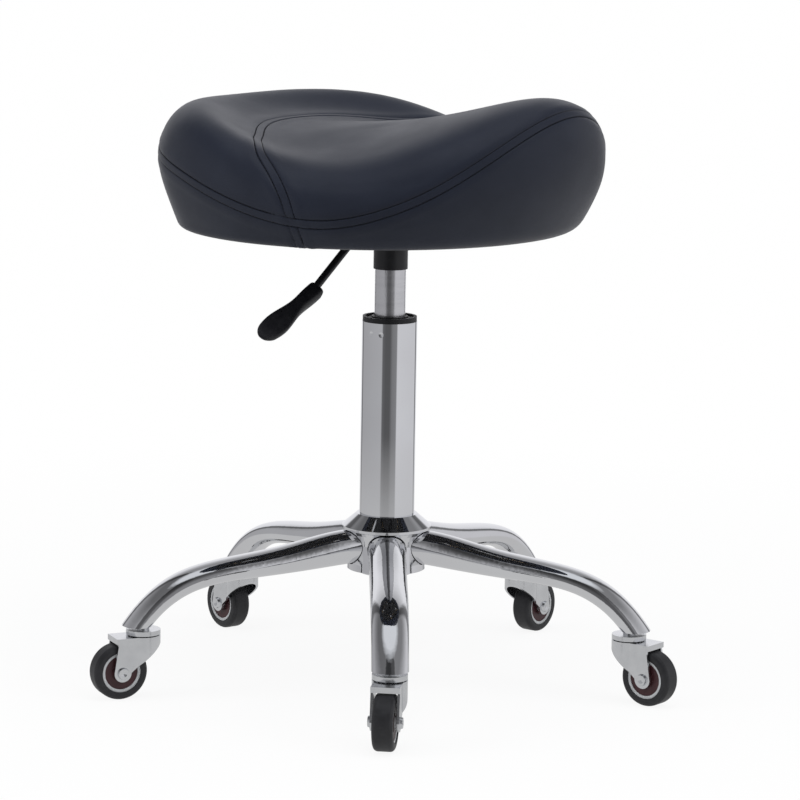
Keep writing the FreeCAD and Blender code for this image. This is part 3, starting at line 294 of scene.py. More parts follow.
def shoulderPoints(angle):
    # start, corner and end of the shoulder's quadratic curve as radius and height
    z = np.full_like(angle, saddle["wallTop"])
    for _ in range(14):
        r = wallRadius(angle, z)
        crown = crownHeight(r * np.cos(angle), r * np.sin(angle))
        z = np.maximum(0.6 * z + 0.4 * crown, saddle["foot"] + 0.008)
    corner = wallRadius(angle, z)
    rear, side, front = saddle["shoulder"]
    ahead = np.cos(angle)
    size = side + (np.where(ahead > 0, front, rear) - side) * ahead ** 2
    low = np.maximum(z - size, saddle["foot"] + 0.004)
    end = corner - size
    endHeight = crownHeight(end * np.cos(angle), end * np.sin(angle))
    return (wallRadius(angle, low), low), (corner, z), (end, endHeight)


def profileAt(angle, w):
    # w from 0 at the foot to 1 at the shoulder's start, 2 at its end and 3 at the middle of the seat
    (r0, z0), (r1, z1), (r2, z2) = shoulderPoints(angle)
    up = saddle["foot"] + (z0 - saddle["foot"]) * np.clip(w, 0, 1)
    t = np.clip(w - 1, 0, 1)
    bend = [(1 - t) ** 2 * a + 2 * t * (1 - t) * b + t * t * c for a, b, c in ((r0, r1, r2), (z0, z1, z2))]
    r = r2 * np.clip(3 - w, 0, 1)
    top = crownHeight(r * np.cos(angle), r * np.sin(angle))
    radius = np.where(w < 1, wallRadius(angle, up), np.where(w < 2, bend[0], r))
    height = np.where(w < 1, up, np.where(w < 2, bend[1], top))
    return radius, height


# Table of the surface over angle and q, the arc length from the middle as a share of the length to the foot
tableAngles, tableShares = 180, 260
angleGrid = np.linspace(-np.pi, np.pi, tableAngles, endpoint=False)
wGrid = np.linspace(3, 0, 900)
rDense, zDense = profileAt(np.repeat(angleGrid[:, None], 900, 1), np.repeat(wGrid[None], tableAngles, 0))
step = np.hypot(np.diff(rDense, axis=1), np.diff(zDense, axis=1))
arcDense = np.concatenate([np.zeros((tableAngles, 1)), np.cumsum(step, 1)], 1)
arcTotal = arcDense[:, -1]
shareGrid = np.linspace(0, 1, tableShares)


def softened(rows, width, axis, wrap):
    # bell-shaped running mean over the table
    reach = int(3 * width) + 1
    bell = np.exp(-0.5 * (np.arange(-reach, reach + 1) / width) ** 2)
    pad = [(reach, reach) if a == axis else (0, 0) for a in range(2)]
    if wrap:
        grown = np.pad(rows, pad, mode="wrap")
    else:
        grown = np.pad(rows, pad, mode="reflect", reflect_type="odd")
    size = rows.shape[axis]
    return sum(b * np.take(grown, np.arange(k, k + size), axis) for k, b in enumerate(bell / bell.sum()))


def onShares(values):
    return np.stack([np.interp(shareGrid, a / a[-1], v) for a, v in zip(arcDense, values)])


def shapedTable(values):
    # softer beside the thighs than at the rear and the pommel
    middle, spread = saddle["softSide"]
    side = np.exp(-((np.abs(angleGrid) - middle) / spread) ** 2)[:, None]
    firm, soft = [softened(onShares(values), width, 1, False) for width in saddle["softRows"]]
    smooth = softened(firm * (1 - side) + soft * side, saddle["softAround"], 0, True)
    # none at the middle, where the columns meet, and less towards the foot
    keep = (np.clip((shareGrid - 0.06) / 0.08, 0, 1) * np.clip((1 - shareGrid) / 0.26, 0, 1) ** 0.7)[None]
    return onShares(values) * (1 - keep) + smooth * keep


rTable, zTable = shapedTable(rDense), shapedTable(zDense)
wTable = onShares(np.repeat(wGrid[None], tableAngles, 0))
zTable[:, :6] = zTable[:, :6] * 0.5 + zTable[:, :6].mean() * 0.5


def cubicWeights(t):
    return [-0.5 * t + t ** 2 - 0.5 * t ** 3, 1 - 2.5 * t ** 2 + 1.5 * t ** 3,
            0.5 * t + 2 * t ** 2 - 1.5 * t ** 3, -0.5 * t ** 2 + 0.5 * t ** 3]


def readTable(table, angle, q):
    # cubic interpolation over the angle, which wraps, and over q
    a = (np.asarray(angle) + np.pi) / (2 * np.pi) * tableAngles
    b = np.clip(q, 0, 1) * (tableShares - 1)
    i, j = np.floor(a).astype(int), np.minimum(np.floor(b).astype(int), tableShares - 2)
    across, along = cubicWeights(a - i), cubicWeights(b - j)
    total = 0
    for m in range(4):
        for n in range(4):
            column = np.clip(j + n - 1, 0, tableShares - 1)
            total = total + across[m] * along[n] * table[(i + m - 1) % tableAngles, column]
    return total


def lengthAt(angle):
    return readTable(np.repeat(arcTotal[:, None], tableShares, 1), angle, np.zeros_like(angle))


def saddlePoint(angle, q):
    # row frame: the pommel points along -Y
    r, z = readTable(rTable, angle, q), readTable(zTable, angle, q)
    return np.stack([r * np.sin(angle), -r * np.cos(angle), z], -1)


def shareOfW(angle, w):
    # q where the profile has that w
    angles = np.repeat(np.asarray(angle)[:, None], tableShares, 1)
    columns = readTable(wTable, angles, np.repeat(shareGrid[None], len(angle), 0))
    return np.array([np.interp(-t, -row, shareGrid) for row, t in zip(columns, w)])


def flatPoint(angle, q):
    # the seat unrolled on a plane: arc length from the middle in the direction of the angle
    reach = q * lengthAt(angle)
    return np.stack([reach * np.cos(angle), reach * np.sin(angle)], -1)


def unrolled(p):
    # back from the plane to the surface
    angle = np.arctan2(p[..., 1], p[..., 0])
    return saddlePoint(angle, np.hypot(p[..., 0], p[..., 1]) / lengthAt(angle))


def spaced(points, count, crowd):
    # count + 1 samples along a flat curve, closer together near both ends
    length = np.concatenate([[0], np.cumsum(np.linalg.norm(np.diff(points, axis=0), axis=1))])
    ends = np.minimum(length, length[-1] - length)
    weight = 1 + crowd * np.exp(-(ends / 0.006) ** 2)
    total = np.concatenate([[0], np.cumsum(0.5 * (weight[1:] + weight[:-1]) * np.diff(length))])
    at = np.interp(np.linspace(0, total[-1], count + 1), total, length)
    return np.stack([np.interp(at, length, points[:, k]) for k in range(points.shape[1])], -1)


# Seam curves on the plane: the perimeter and the cross seam that bounds the rear panel
seamAngles = np.linspace(-np.pi, np.pi, 1441)
seamShare = shareOfW(seamAngles, 1 + cosines(saddle["seam"], seamAngles))
crossAngle = np.radians([a for a, _ in saddle["cross"]])
crossShare = shareOfW(crossAngle, np.array([w for _, w in saddle["cross"]]))
joinAngle = crossAngle[0]
crossShare[0] = np.interp(joinAngle, seamAngles, seamShare)
half = flatPoint(crossAngle, crossShare)
knots = np.concatenate([half, (half * [1, -1])[-2::-1]])
knotAt = np.concatenate([[0], np.cumsum(np.linalg.norm(np.diff(knots, axis=0), axis=1))])
fine = np.linspace(0, knotAt[-1], 900)
crossFlat = np.stack([naturalLine(knotAt, knots[:, k])(fine) for k in range(2)], -1)

# Points along the seams: the main panel's loop holds eight times its ring count
ringHalf = 66
loopCount = 8 * ringHalf
crossCount = 228
frontCount = loopCount - crossCount
frontDense = np.linspace(-joinAngle, joinAngle, 1200)
rearDense = np.linspace(joinAngle, 2 * np.pi - joinAngle, 1200)


def seamFlat(angle):
    wrapped = (angle + np.pi) % (2 * np.pi) - np.pi
    return flatPoint(wrapped, np.interp(wrapped, seamAngles, seamShare))


frontSeam = spaced(seamFlat(frontDense), frontCount, 5.0)
rearSeam = spaced(seamFlat(rearDense), crossCount, 5.0)
crossSeam = spaced(crossFlat, crossCount, 5.0)
crossSeam[0], crossSeam[-1] = frontSeam[-1], frontSeam[0]
rearSeam[0], rearSeam[-1] = frontSeam[-1], frontSeam[0]
# distances of the first rows from a seam's middle line, closest together at its stitch rows
offsets = np.array([0, 1.4, 2.5, 3.0, 3.3, 3.55, 3.8, 4.1, 4.5, 5.1, 6.0, 7.4, 9.6, 13.0]) / 1000


def gridFaces(rows, columns, closed=False):
    r, c = np.meshgrid(np.arange(rows - 1), np.arange(columns if closed else columns - 1), indexing="ij")
    a, b = r * columns + c, r * columns + (c + 1) % columns
    return np.stack([a, b, b + columns, a + columns], -1).reshape(-1, 4)


def inwardShift(edge, toward, depth):
    # plane shift along toward that gives the wanted distance from the edge curve
    tangent = np.roll(edge, -1, 0) - np.roll(edge, 1, 0)
    tangent /= np.linalg.norm(tangent, axis=1, keepdims=True)
    cross = np.abs(tangent[:, 0] * toward[:, 1] - tangent[:, 1] * toward[:, 0])
    return depth / np.clip(cross, 0.45, 1)


# Main panel: square rings drawn round, so that the outermost ring runs along the seams
loop = np.concatenate([frontSeam[:-1], crossSeam[:-1]])
middle = np.array([saddle["middle"], 0.0])
i, j = np.meshgrid(np.arange(-ringHalf, ringHalf + 1), np.arange(-ringHalf, ringHalf + 1), indexing="ij")
ring = np.maximum(np.abs(i), np.abs(j))
place = np.select([(i == ring) & (j < ring), (j == ring) & (i > -ring), (i == -ring) & (j > -ring), ring > 0],
                  [j + ring, 3 * ring - i, 5 * ring - j, 7 * ring + i], 0)
turnShare = np.where(ring > 0, place / np.maximum(8 * ring, 1), 0) * loopCount
lower = np.floor(turnShare).astype(int) % loopCount
part = (turnShare - np.floor(turnShare))[..., None]
edge = loop[lower] * (1 - part) + loop[(lower + 1) % loopCount] * part
toMiddle = middle - loop
toMiddle /= np.linalg.norm(toMiddle, axis=1, keepdims=True)
shift = inwardShift(loop, toMiddle, 1.0)
shift = softened(np.repeat(shift[:, None], 2, 1), 3.0, 0, True)[:, 0]
shiftHere = shift[lower] * (1 - part[..., 0]) + shift[(lower + 1) % loopCount] * part[..., 0]
inner = ringHalf - len(offsets) + 1
deep = np.where(ring >= inner, offsets[np.clip(ringHalf - ring, 0, len(offsets) - 1)], offsets[-1])
span = middle - edge
away = np.linalg.norm(span, axis=-1)
start = edge + span * np.minimum(deep * shiftHere / np.maximum(away, 1e-6), 0.5)[..., None]
mainFlat = np.where((ring >= inner)[..., None], start, middle + (start - middle) * (ring / inner)[..., None])
mainPoints = unrolled(mainFlat.reshape(-1, 2))
mainFaces = gridFaces(2 * ringHalf + 1, 2 * ringHalf + 1)

# Rear panel: straight columns on the plane between the cross seam and the rear of the perimeter
across = rearSeam - crossSeam
wide = np.linalg.norm(across, axis=1)
unit = across / np.maximum(wide, 1e-9)[:, None]
fit = np.minimum(1, 0.42 * wide / offsets[-1])
fromCross = offsets[:, None] * inwardShift(crossSeam, unit, 1.0) * fit
fromRear = offsets[::-1, None] * inwardShift(rearSeam, unit, 1.0) * fit
midShares = np.linspace(0, 1, 26)[1:-1, None]
fromCross, fromRear = np.minimum(fromCross, 0.45 * wide), np.minimum(fromRear, 0.45 * wide)
between = fromCross[-1] + (wide - fromRear[0] - fromCross[-1]) * midShares
rows = np.concatenate([fromCross, between, wide - fromRear])
rearFlat = crossSeam[None] + unit[None] * rows[..., None]
rearPoints = unrolled(rearFlat.reshape(-1, 2))
rearFaces = gridFaces(len(rows), crossCount + 1)

# Side band: down from the perimeter seam by arc length, then round the lower edge, under, and closed inside
bandFlat = np.concatenate([frontSeam[:-1], rearSeam[:-1]])
bandAngle = np.arctan2(bandFlat[:, 1], bandFlat[:, 0])
bandTotal = lengthAt(bandAngle)
bandStart = np.linalg.norm(bandFlat, axis=1)
edgeRound = saddle["edgeRound"][0] + np.diff(saddle["edgeRound"]) * (0.5 + 0.5 * np.cos(bandAngle)) ** 2
bandLong = bandTotal - bandStart - edgeRound
bandRows = np.concatenate([np.repeat(offsets[:, None], loopCount, 1),
                           offsets[-1] + (bandLong - offsets[-1]) * np.linspace(0, 1, 25)[1:, None]])
bandShare = bandRows / bandLong
lapAt = [np.exp(-((bandAngle - a) / saddle["lapSpread"]) ** 2) for a in (joinAngle, -joinAngle)]
lean = np.radians(saddle["lapShift"]) * (lapAt[0] - lapAt[1])
bandTurn = bandAngle - lean * bandShare
bandPoints = saddlePoint(bandTurn, (bandStart + bandRows) / lengthAt(bandTurn))
lastTurn = bandTurn[-1]
edgeTop = bandPoints[-1]
outward = np.stack([np.sin(lastTurn), -np.cos(lastTurn), np.zeros_like(lastTurn)], -1)
footLine = saddlePoint(lastTurn, np.ones_like(lastTurn))
footLine[:, 2] = saddle["foot"]
under = footLine - outward * edgeRound[:, None]
bends = np.linspace(0, 1, 8)[1:, None, None]
roundRows = (1 - bends) ** 2 * edgeTop + 2 * bends * (1 - bends) * footLine + bends ** 2 * under
tuckRows = under - outward * (saddle["tuck"] - edgeRound)[:, None] * np.linspace(0, 1, 5)[1:, None, None]
closeShares = np.array(saddle["closeShares"])[:, None, None]
closing = tuckRows[-1] * [0, 0, 1] + tuckRows[-1] * [1, 1, 0] * closeShares
closing[..., 2] += saddle["closeRise"]
bandAll = np.concatenate([bandPoints, roundRows, tuckRows, closing])
bandFaces = gridFaces(len(bandAll), loopCount, True)

parts = [(mainPoints, mainFaces), (rearPoints, rearFaces), (bandAll.reshape(-1, 3), bandFaces)]
starts = np.cumsum([0] + [len(p) for p, _ in parts])
seatVerts = np.concatenate([p for p, _ in parts])
seatFaces = np.concatenate([f + k for (_, f), k in zip(parts, starts)])
print("saddle panels:", len(seatVerts), "points")


def newMesh(name, verts, faces, material, body):
    mesh = bpy.data.meshes.new(name)
    mesh.from_pydata(np.asarray(verts).tolist(), [], np.asarray(faces).tolist())
    mesh.materials.append(material)
    obj = bpy.data.objects.new(name, mesh)
    bpy.context.scene.collection.objects.link(obj)
    mesh.shade_smooth()
    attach(obj, body)
    return obj


def weldAndFace(obj, gap):
    work = bmesh.new()
    work.from_mesh(obj.data)
    bmesh.ops.remove_doubles(work, verts=work.verts, dist=gap)
    bmesh.ops.dissolve_degenerate(work, edges=work.edges, dist=1e-7)
    bmesh.ops.recalc_face_normals(work, faces=work.faces)
    work.to_mesh(obj.data)
    work.free()
    obj.data.shade_smooth()


seat = newMesh("saddleCover", seatVerts, seatFaces, finishes["cover"], "seat")
weldAndFace(seat, 1e-5)


def nearestTo(points, curve):
    # distance from each point to the closest sample of a dense curve, a slice of points at a time
    found = np.empty(len(points))
    for k in range(0, len(points), 3000):
        gap = points[k:k + 3000, None, :] - curve[None]
        found[k:k + 3000] = np.sqrt((gap ** 2).sum(-1).min(1))
    return found


def resampled(points, pitch):
    length = np.concatenate([[0], np.cumsum(np.linalg.norm(np.diff(points, axis=0), axis=1))])
    at = np.linspace(0, length[-1], max(int(round(length[-1] / pitch)), 2) + 1)
    return np.stack([np.interp(at, length, points[:, k]) for k in range(points.shape[1])], -1)


# Relief: the strap between two sunk stitch rows, from true distances to the seams' middle lines
perimeterFlat = seamFlat(np.linspace(-np.pi, np.pi, 2400))
linePitch = 0.0007
perimeterLine = resampled(unrolled(perimeterFlat), linePitch)
lapRows = np.concatenate([bandPoints, roundRows])
crossLine = np.concatenate([resampled(line, linePitch)
                            for line in (unrolled(crossFlat), lapRows[:, 0], lapRows[:, frontCount])])


def seamRelief(gap):
    # raised strap, sunk stitch row, slight swell beyond it
    h = saddle["strapHalf"]
    rise = saddle["strapRise"] / (1 + np.exp(np.minimum((gap - h) / saddle["strapEdge"], 100)))
    groove = saddle["seamDepth"] * np.exp(-((gap - h) / saddle["seamWide"]) ** 2)
    height, place, width = saddle["swell"]
    return rise, groove, height * np.exp(-((gap - place) / width) ** 2)


count = len(seat.data.vertices)
flatCo, flatNo = np.empty(count * 3), np.empty(count * 3)
seat.data.vertices.foreach_get("co", flatCo)
seat.data.vertex_normals.foreach_get("vector", flatNo)
co, no = flatCo.reshape(-1, 3), flatNo.reshape(-1, 3)
above = co[:, 2] > saddle["foot"] + 0.0005
gapP, gapC = np.full(count, 1.0), np.full(count, 1.0)
gapP[above], gapC[above] = nearestTo(co[above], perimeterLine), nearestTo(co[above], crossLine)
riseP, grooveP, swellP = seamRelief(gapP)
riseC, grooveC, swellC = seamRelief(gapC)
clearFrom, clearOver = saddle["lapClear"]
outside = np.clip((gapP - clearFrom) / clearOver, 0, 1)
relief = np.maximum(riseP, riseC) - np.maximum(grooveP, grooveC * outside) + np.maximum(swellP, swellC)
co = co + no * relief[:, None]
seat.data.vertices.foreach_set("co", co.ravel())
seat.data.update()
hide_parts("seat_cover", "seat_foam")
print("saddle cover:", count, "points,", len(seat.data.polygons), "faces")

# Stitches: a rounded thread every few millimetres, lying in the sunk rows
stitch = {"pitch": 0.0034, "length": 0.0025, "radius": 0.00034, "sink": 0.00045, "arch": 0.00018,
          "crossTrim": 0.0045, "reach": 0.0006}


def rowBeside(flat, line, side):
    # a curve on the surface at the strap's half width to one side of a seam
    tangent = np.gradient(flat, axis=0)
    normal = np.stack([-tangent[:, 1], tangent[:, 0]], -1)
    normal /= np.linalg.norm(normal, axis=1, keepdims=True)
    shift = np.full(len(flat), saddle["strapHalf"])
    for _ in range(3):
        row = unrolled(flat + normal * side * shift[:, None])
        shift *= np.clip(saddle["strapHalf"] / np.maximum(nearestTo(row, line), 1e-5), 0.6, 1.6)
    return flat + normal * side * shift[:, None]


def surfaceNormal(flat):
    # from two short steps across each other, pointing away from the inside of the seat
    e = 0.0008
    a = unrolled(flat + [e, 0]) - unrolled(flat - [e, 0])
    b = unrolled(flat + [0, e]) - unrolled(flat - [0, e])
    n = np.cross(b, a)
    n /= np.linalg.norm(n, axis=1, keepdims=True)
    return n * np.sign((n * (unrolled(flat) - [0, 0, 0.44])).sum(1))[:, None]


stitchAt, stitchAlong, stitchUp = [], [], []
seamRows = ((perimeterFlat, perimeterLine, 0), (resampled(crossFlat, 0.0012), crossLine, stitch["crossTrim"]))
for flat, line, trim in seamRows:
    for side in (-1, 1):
        row = rowBeside(flat, line, side)
        long = np.concatenate([[0], np.cumsum(np.linalg.norm(np.diff(unrolled(row), axis=0), axis=1))])
        at = np.arange(trim + stitch["pitch"] / 2, long[-1] - trim, stitch["pitch"])
        spot = np.stack([np.interp(at, long, row[:, k]) for k in range(2)], -1)
        ahead = np.stack([np.interp(at + stitch["reach"], long, row[:, k]) for k in range(2)], -1)
        behind = np.stack([np.interp(at - stitch["reach"], long, row[:, k]) for k in range(2)], -1)
        stitchAt.append(unrolled(spot))
        stitchAlong.append(unrolled(ahead) - unrolled(behind))
        stitchUp.append(surfaceNormal(spot))
for column in (0, frontCount):
    for side in (-1, 1):
        radius = np.hypot(bandPoints[:, column, 0], bandPoints[:, column, 1])
        turned = bandTurn[:, column] + side * saddle["strapHalf"] / radius
        row = saddlePoint(turned, (bandStart[column] + bandRows[:, column]) / lengthAt(turned))
        spots = resampled(row, stitch["pitch"])[2:]
        along = np.gradient(spots, axis=0)
        out = spots * [1, 1, 0]
        out = out - along * ((out * along).sum(1) / (along ** 2).sum(1))[:, None]
        stitchAt.append(spots)
        stitchAlong.append(along)
        stitchUp.append(out / np.linalg.norm(out, axis=1, keepdims=True))
stitchAt, stitchAlong, stitchUp = (np.concatenate(x) for x in (stitchAt, stitchAlong, stitchUp))
stitchAlong /= np.linalg.norm(stitchAlong, axis=1, keepdims=True)
stitchSide = np.cross(stitchUp, stitchAlong)
# one stitch: rings round an arched line, closed at both ends
along = np.array([-1, -0.94, -0.6, 0, 0.6, 0.94, 1])
thick = np.array([0.02, 0.55, 0.95, 1, 0.95, 0.55, 0.02])
turns = np.arange(6) / 6 * 2 * np.pi
lx = np.repeat((along * stitch["length"] / 2)[:, None], 6, 1)
ly = thick[:, None] * np.cos(turns) * stitch["radius"]
arch = (stitch["arch"] * (1 - along ** 2))[:, None]
lz = thick[:, None] * np.sin(turns) * stitch["radius"] + arch - stitch["sink"]
local = np.stack([lx, ly, lz], -1).reshape(-1, 3)
stitchVerts = (stitchAt[:, None] + local[None, :, :1] * stitchAlong[:, None]
               + local[None, :, 1:2] * stitchSide[:, None] + local[None, :, 2:] * stitchUp[:, None])
oneFaces = gridFaces(7, 6, True)
stitchFaces = (oneFaces[None] + (np.arange(len(stitchAt)) * len(local))[:, None, None]).reshape(-1, 4)
thread = newMesh("saddleStitches", stitchVerts.reshape(-1, 3), stitchFaces, finishes["thread"], "seat")
weldAndFace(thread, 1e-6)
print("stitches:", len(stitchAt))


# Lever paddle, where the lever's solid has it: its axis starts on the rod and is pitched up from it. Sections
# are rounded rectangles whose half width and depth change along the axis; stations are shares of the length.
paddle = {
    "straight": 0.0437, "bend": 0.036, "fall": 33.4, "arm": 0.0877, "grip": 0.026, "pitch": 10.3, "roll": -38,
    "length": 0.089, "at": (0, 0.15, 0.36, 0.52, 0.68, 0.84, 1),
    "halfWidth": (0.0074, 0.0074, 0.0068, 0.0086, 0.0105, 0.0099, 0.0074),
    "top": (0.0070, 0.0071, 0.0068, 0.0060, 0.0054, 0.0056, 0.0060),
    "bottom": (-0.0070, -0.0070, -0.0066, -0.0050, -0.0031, -0.0012, 0.0006),
    "squareness": 3.4, "rows": 72, "round": 40, "tip": 0.13, "dish": 0.0012, "dishAt": 0.62, "dishWide": 0.2,
}
pivot = next(j for j in frame["record"]["behaviour"]["joints"] if j["name"] == "lever_pull")["pos_m"]


def leverDirection(degrees):
    return np.array([-math.cos(math.radians(degrees)), 0, -math.sin(math.radians(degrees))])


fall = math.radians(paddle["fall"])
kneeEnd = np.array([-paddle["straight"] - paddle["bend"] * math.sin(fall), 0,
                    pivot[2] - paddle["bend"] * (1 - math.cos(fall))])
paddleAxis = leverDirection(paddle["fall"] - paddle["pitch"])
gripMiddle = kneeEnd + leverDirection(paddle["fall"]) * (paddle["arm"] - paddle["grip"] / 2)
neckAt = gripMiddle - paddleAxis * paddle["grip"] / 2
station = np.concatenate([[0, 0, 0, 0.006, 0.016], np.linspace(0.03, 1 - paddle["tip"], paddle["rows"]),
                          1 - paddle["tip"] + paddle["tip"] * np.sin(np.linspace(0, np.pi / 2, 18)[1:])])
ending = np.clip((station - 1 + paddle["tip"]) / paddle["tip"], 0, 1)
shrink = np.sqrt(np.clip(1 - ending ** 2, 0, 1))
shrink[:5] = 0, 0.45, 0.90, 0.965, 0.992
halfWidth, top, bottom = (naturalLine(paddle["at"], paddle[k])(station)
                          for k in ("halfWidth", "top", "bottom"))
turns = np.linspace(0, 2 * np.pi, paddle["round"], endpoint=False)
power = 2 / paddle["squareness"]
across = np.sign(np.cos(turns)) * np.abs(np.cos(turns)) ** power
upward = np.sign(np.sin(turns)) * np.abs(np.sin(turns)) ** power
sideways = (halfWidth * shrink)[:, None] * across
hollow = paddle["dish"] * np.exp(-((station - paddle["dishAt"]) / paddle["dishWide"]) ** 2)
thumb = hollow[:, None] * np.clip(upward, 0, 1) * (1 - across ** 2)
rise = ((top + bottom) / 2)[:, None] + ((top - bottom) / 2 * shrink)[:, None] * upward - thumb
roll = math.radians(paddle["roll"])
sideAxis, upAxis = np.array([0, -1, 0]), np.array([paddleAxis[2], 0, -paddleAxis[0]])
paddleVerts = (neckAt + (station * paddle["length"])[:, None, None] * paddleAxis
               + (sideways * math.cos(roll) - rise * math.sin(roll))[..., None] * sideAxis
               + (sideways * math.sin(roll) + rise * math.cos(roll))[..., None] * upAxis)
leverPaddle = newMesh("leverPaddle", paddleVerts.reshape(-1, 3), gridFaces(len(station), len(turns), True),
                      finishes["black_plastic"], "lever")
weldAndFace(leverPaddle, 1e-6)
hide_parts("lever_paddle")
print("lever paddle:", len(leverPaddle.data.vertices), "points")


# Camera at the photograph's angle
view = {"distance": 3.3, "elevation": 9.62, "azimuth": -55.4, "aside": 0.01042, "height": 0.2598,
        "lens": 163.85, "roll": 0.93}
az, el = math.radians(view["azimuth"]), math.radians(view["elevation"])
back = Vector((math.cos(el) * math.sin(az), -math.cos(el) * math.cos(az), math.sin(el)))
right = Vector((math.cos(az), math.sin(az), 0))
up = back.cross(right)
turn = Matrix((right, up, back)).transposed() @ Matrix.Rotation(math.radians(view["roll"]), 3, "Z")
camera = bpy.data.objects.new("camera", bpy.data.cameras.new("camera"))
camera.data.lens = view["lens"]
camera.data.sensor_width = 36
camera.data.clip_end = 50
aim = right * view["aside"] + Vector((0, 0, view["height"]))
camera.matrix_world = Matrix.Translation(aim + back * view["distance"]) @ turn.to_4x4()
bpy.context.scene.collection.objects.link(camera)
bpy.context.scene.camera = camera
bpy.context.scene.view_settings.view_transform = "Standard"


def softLight(name, place, aim, size, watts):
    lamp = bpy.data.lights.new(name, "AREA")
    lamp.shape = "RECTANGLE"
    lamp.size, lamp.size_y = size
    lamp.energy = watts
    obj = bpy.data.objects.new(name, lamp)
    obj.location = place
    obj.rotation_euler = (Vector(aim) - Vector(place)).to_track_quat("-Z", "Y").to_euler()
    bpy.context.scene.collection.objects.link(obj)
    return obj


lampAim = (0, 0, 0.3)


def around(azimuth, elevation, distance):
    # a place seen from the stool, azimuth counted from the camera's side
    a, e = math.radians(view["azimuth"] + azimuth), math.radians(elevation)
    outward = Vector((math.cos(e) * math.sin(a), -math.cos(e) * math.cos(a), math.sin(e)))
    return outward * distance + Vector(lampAim)


lamps = [softLight("topLight", around(20, 80, 2.2), lampAim, (1.8, 1.8), 26),
         softLight("leftLight", around(-70, 25, 2.4), lampAim, (1.2, 2.0), 20),
         softLight("rightLight", around(65, 30, 2.4), lampAim, (1.2, 2.0), 16)]
# bright metal shows the studio below instead of the lamps
for lamp in lamps:
    lamp.visible_glossy = False

# Studio round the stool as bright metal sees it. Walls are (degrees from the camera's side, brightness):
# two pale walls, a dark gap between them where the camera stands, and a white backdrop behind the stool.
studio = {
    "walls": ((-180, 0.92), (-152, 0.85), (-147, 0.16), (-139, 0.16), (-134, 0.42), (-30, 0.47), (-26, 0.15),
              (-14, 0.11), (4, 0.11), (14, 0.22), (31, 0.26), (35, 0.70), (134, 0.66), (139, 0.20),
              (147, 0.20), (152, 0.85), (180, 0.92)),
    "dimFrom": (0.35, 0.75), "dimTo": 0.35, "ceiling": (0.75, 0.77, 0.80), "ceilingFrom": (0.88, 0.95),
    "softSky": (0.90, 0.92, 0.95), "softLevel": 0.45,
    "floorHalf": 30.0, "floorTint": 0.9, "nearFloor": 0.60, "wallsFrom": (0.45, 1.3),
    "whiteShare": (0.90, 0.998), "whiteFrom": (0.35, 1.2),
}
toCamera = Vector((back.x, back.y, 0)).normalized()


def studioGroup():
    # colour of the studio in a direction from the stool: a ramp over the angle round it that dims with
    # height, under a pale ceiling
    group, start, end = newGroup("studioSeen", [("Direction", "Vector")], [("Color", "Color")])
    dots = [wired(group, "ShaderNodeVectorMath", {0: start["Direction"], 1: axis}, "DOT_PRODUCT")
            for axis in (right, toCamera, (0, 0, 1))]
    along = [dot.outputs["Value"] for dot in dots]
    angle = mathNode(group, "ARCTAN2", along[0], along[1])
    turnShare = mathNode(group, "MULTIPLY_ADD", angle, 0.5 / math.pi, 0.5)
    ramp = wired(group, "ShaderNodeValToRGB", {"Fac": turnShare})
    stops = ramp.color_ramp.elements
    stops.remove(stops[1])
    stops[0].position = 0
    for degrees, level in studio["walls"]:
        stop = stops[0] if degrees == -180 else stops.new(degrees / 360 + 0.5)
        stop.color = (level, level, level * 1.03, 1)
    dim = ranged(group, along[2], *studio["dimFrom"], 0, 1 - studio["dimTo"])
    walls = colourMix(group, dim, ramp.outputs["Color"], (0, 0, 0))
    overhead = ranged(group, along[2], *studio["ceilingFrom"], 0, 1)
    group.links.new(colourMix(group, overhead, walls, studio["ceiling"]), end["Color"])
    return group


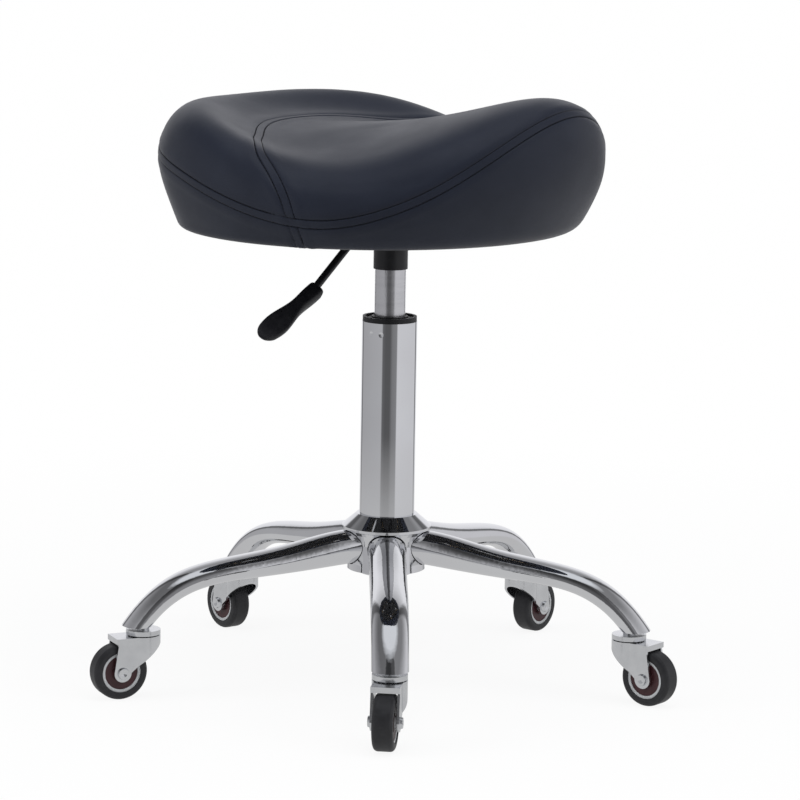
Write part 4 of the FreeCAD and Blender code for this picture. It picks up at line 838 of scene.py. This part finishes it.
studioSeen = studioGroup()
world = bpy.data.worlds.new("studio")
bpy.context.scene.world = world
world.use_nodes = True
sky = world.node_tree
sky.nodes.clear()
rays = sky.nodes.new("ShaderNodeLightPath").outputs
mirrored = mathNode(sky, "MAXIMUM", rays["Is Glossy Ray"], rays["Is Transmission Ray"])
direction = sky.nodes.new("ShaderNodeTexCoord").outputs["Generated"]
walls = placed(sky, studioSeen, {"Direction": direction})["Color"]
seen = colourMix(sky, mirrored, studio["softSky"], walls)
seen = colourMix(sky, rays["Is Camera Ray"], seen, (1, 1, 1))
level = ranged(sky, mathNode(sky, "MAXIMUM", mirrored, rays["Is Camera Ray"]), 0, 1, studio["softLevel"], 1)
backdrop = wired(sky, "ShaderNodeBackground", {"Color": seen, "Strength": level})
wired(sky, "ShaderNodeOutputWorld", {"Surface": backdrop.outputs[0]})

# Pale floor: it glows white for the camera, more so further out, keeps the shadow under the stool, and
# shows bright metal the studio's walls past its near part
half = studio["floorHalf"]
floorMesh = bpy.data.meshes.new("floor")
corners = [(-half, -half, 0), (half, -half, 0), (half, half, 0), (-half, half, 0)]
floorMesh.from_pydata(corners, [], [(0, 1, 2, 3)])
floor = bpy.data.objects.new("floor", floorMesh)
bpy.context.scene.collection.objects.link(floor)
floorMat = bpy.data.materials.new("paleFloor")
floorMat.use_nodes = True
ft = floorMat.node_tree
ft.nodes.clear()
rays = ft.nodes.new("ShaderNodeLightPath").outputs
place = ft.nodes.new("ShaderNodeTexCoord").outputs["Object"]
away = wired(ft, "ShaderNodeVectorMath", {0: place}, "LENGTH").outputs["Value"]
near = (studio["nearFloor"],) * 3
farther = ranged(ft, away, *studio["wallsFrom"], 0, 1)
walls = colourMix(ft, farther, near, placed(ft, studioSeen, {"Direction": place})["Color"])
glow = wired(ft, "ShaderNodeEmission", {"Color": colourMix(ft, rays["Is Camera Ray"], walls, (1, 1, 1))})
matte = wired(ft, "ShaderNodeBsdfDiffuse", {"Color": (*(studio["floorTint"],) * 3, 1)})
whiteHere = ranged(ft, away, *studio["whiteFrom"], *studio["whiteShare"])
mirrored = mathNode(ft, "MAXIMUM", rays["Is Glossy Ray"], rays["Is Transmission Ray"])
shown = mathNode(ft, "MAXIMUM", mirrored, mathNode(ft, "MULTIPLY", rays["Is Camera Ray"], whiteHere))
mixed = wired(ft, "ShaderNodeMixShader", {0: shown, 1: matte.outputs[0], 2: glow.outputs[0]})
wired(ft, "ShaderNodeOutputMaterial", {"Surface": mixed.outputs[0]})
floorMesh.materials.append(floorMat)
print("studio set")
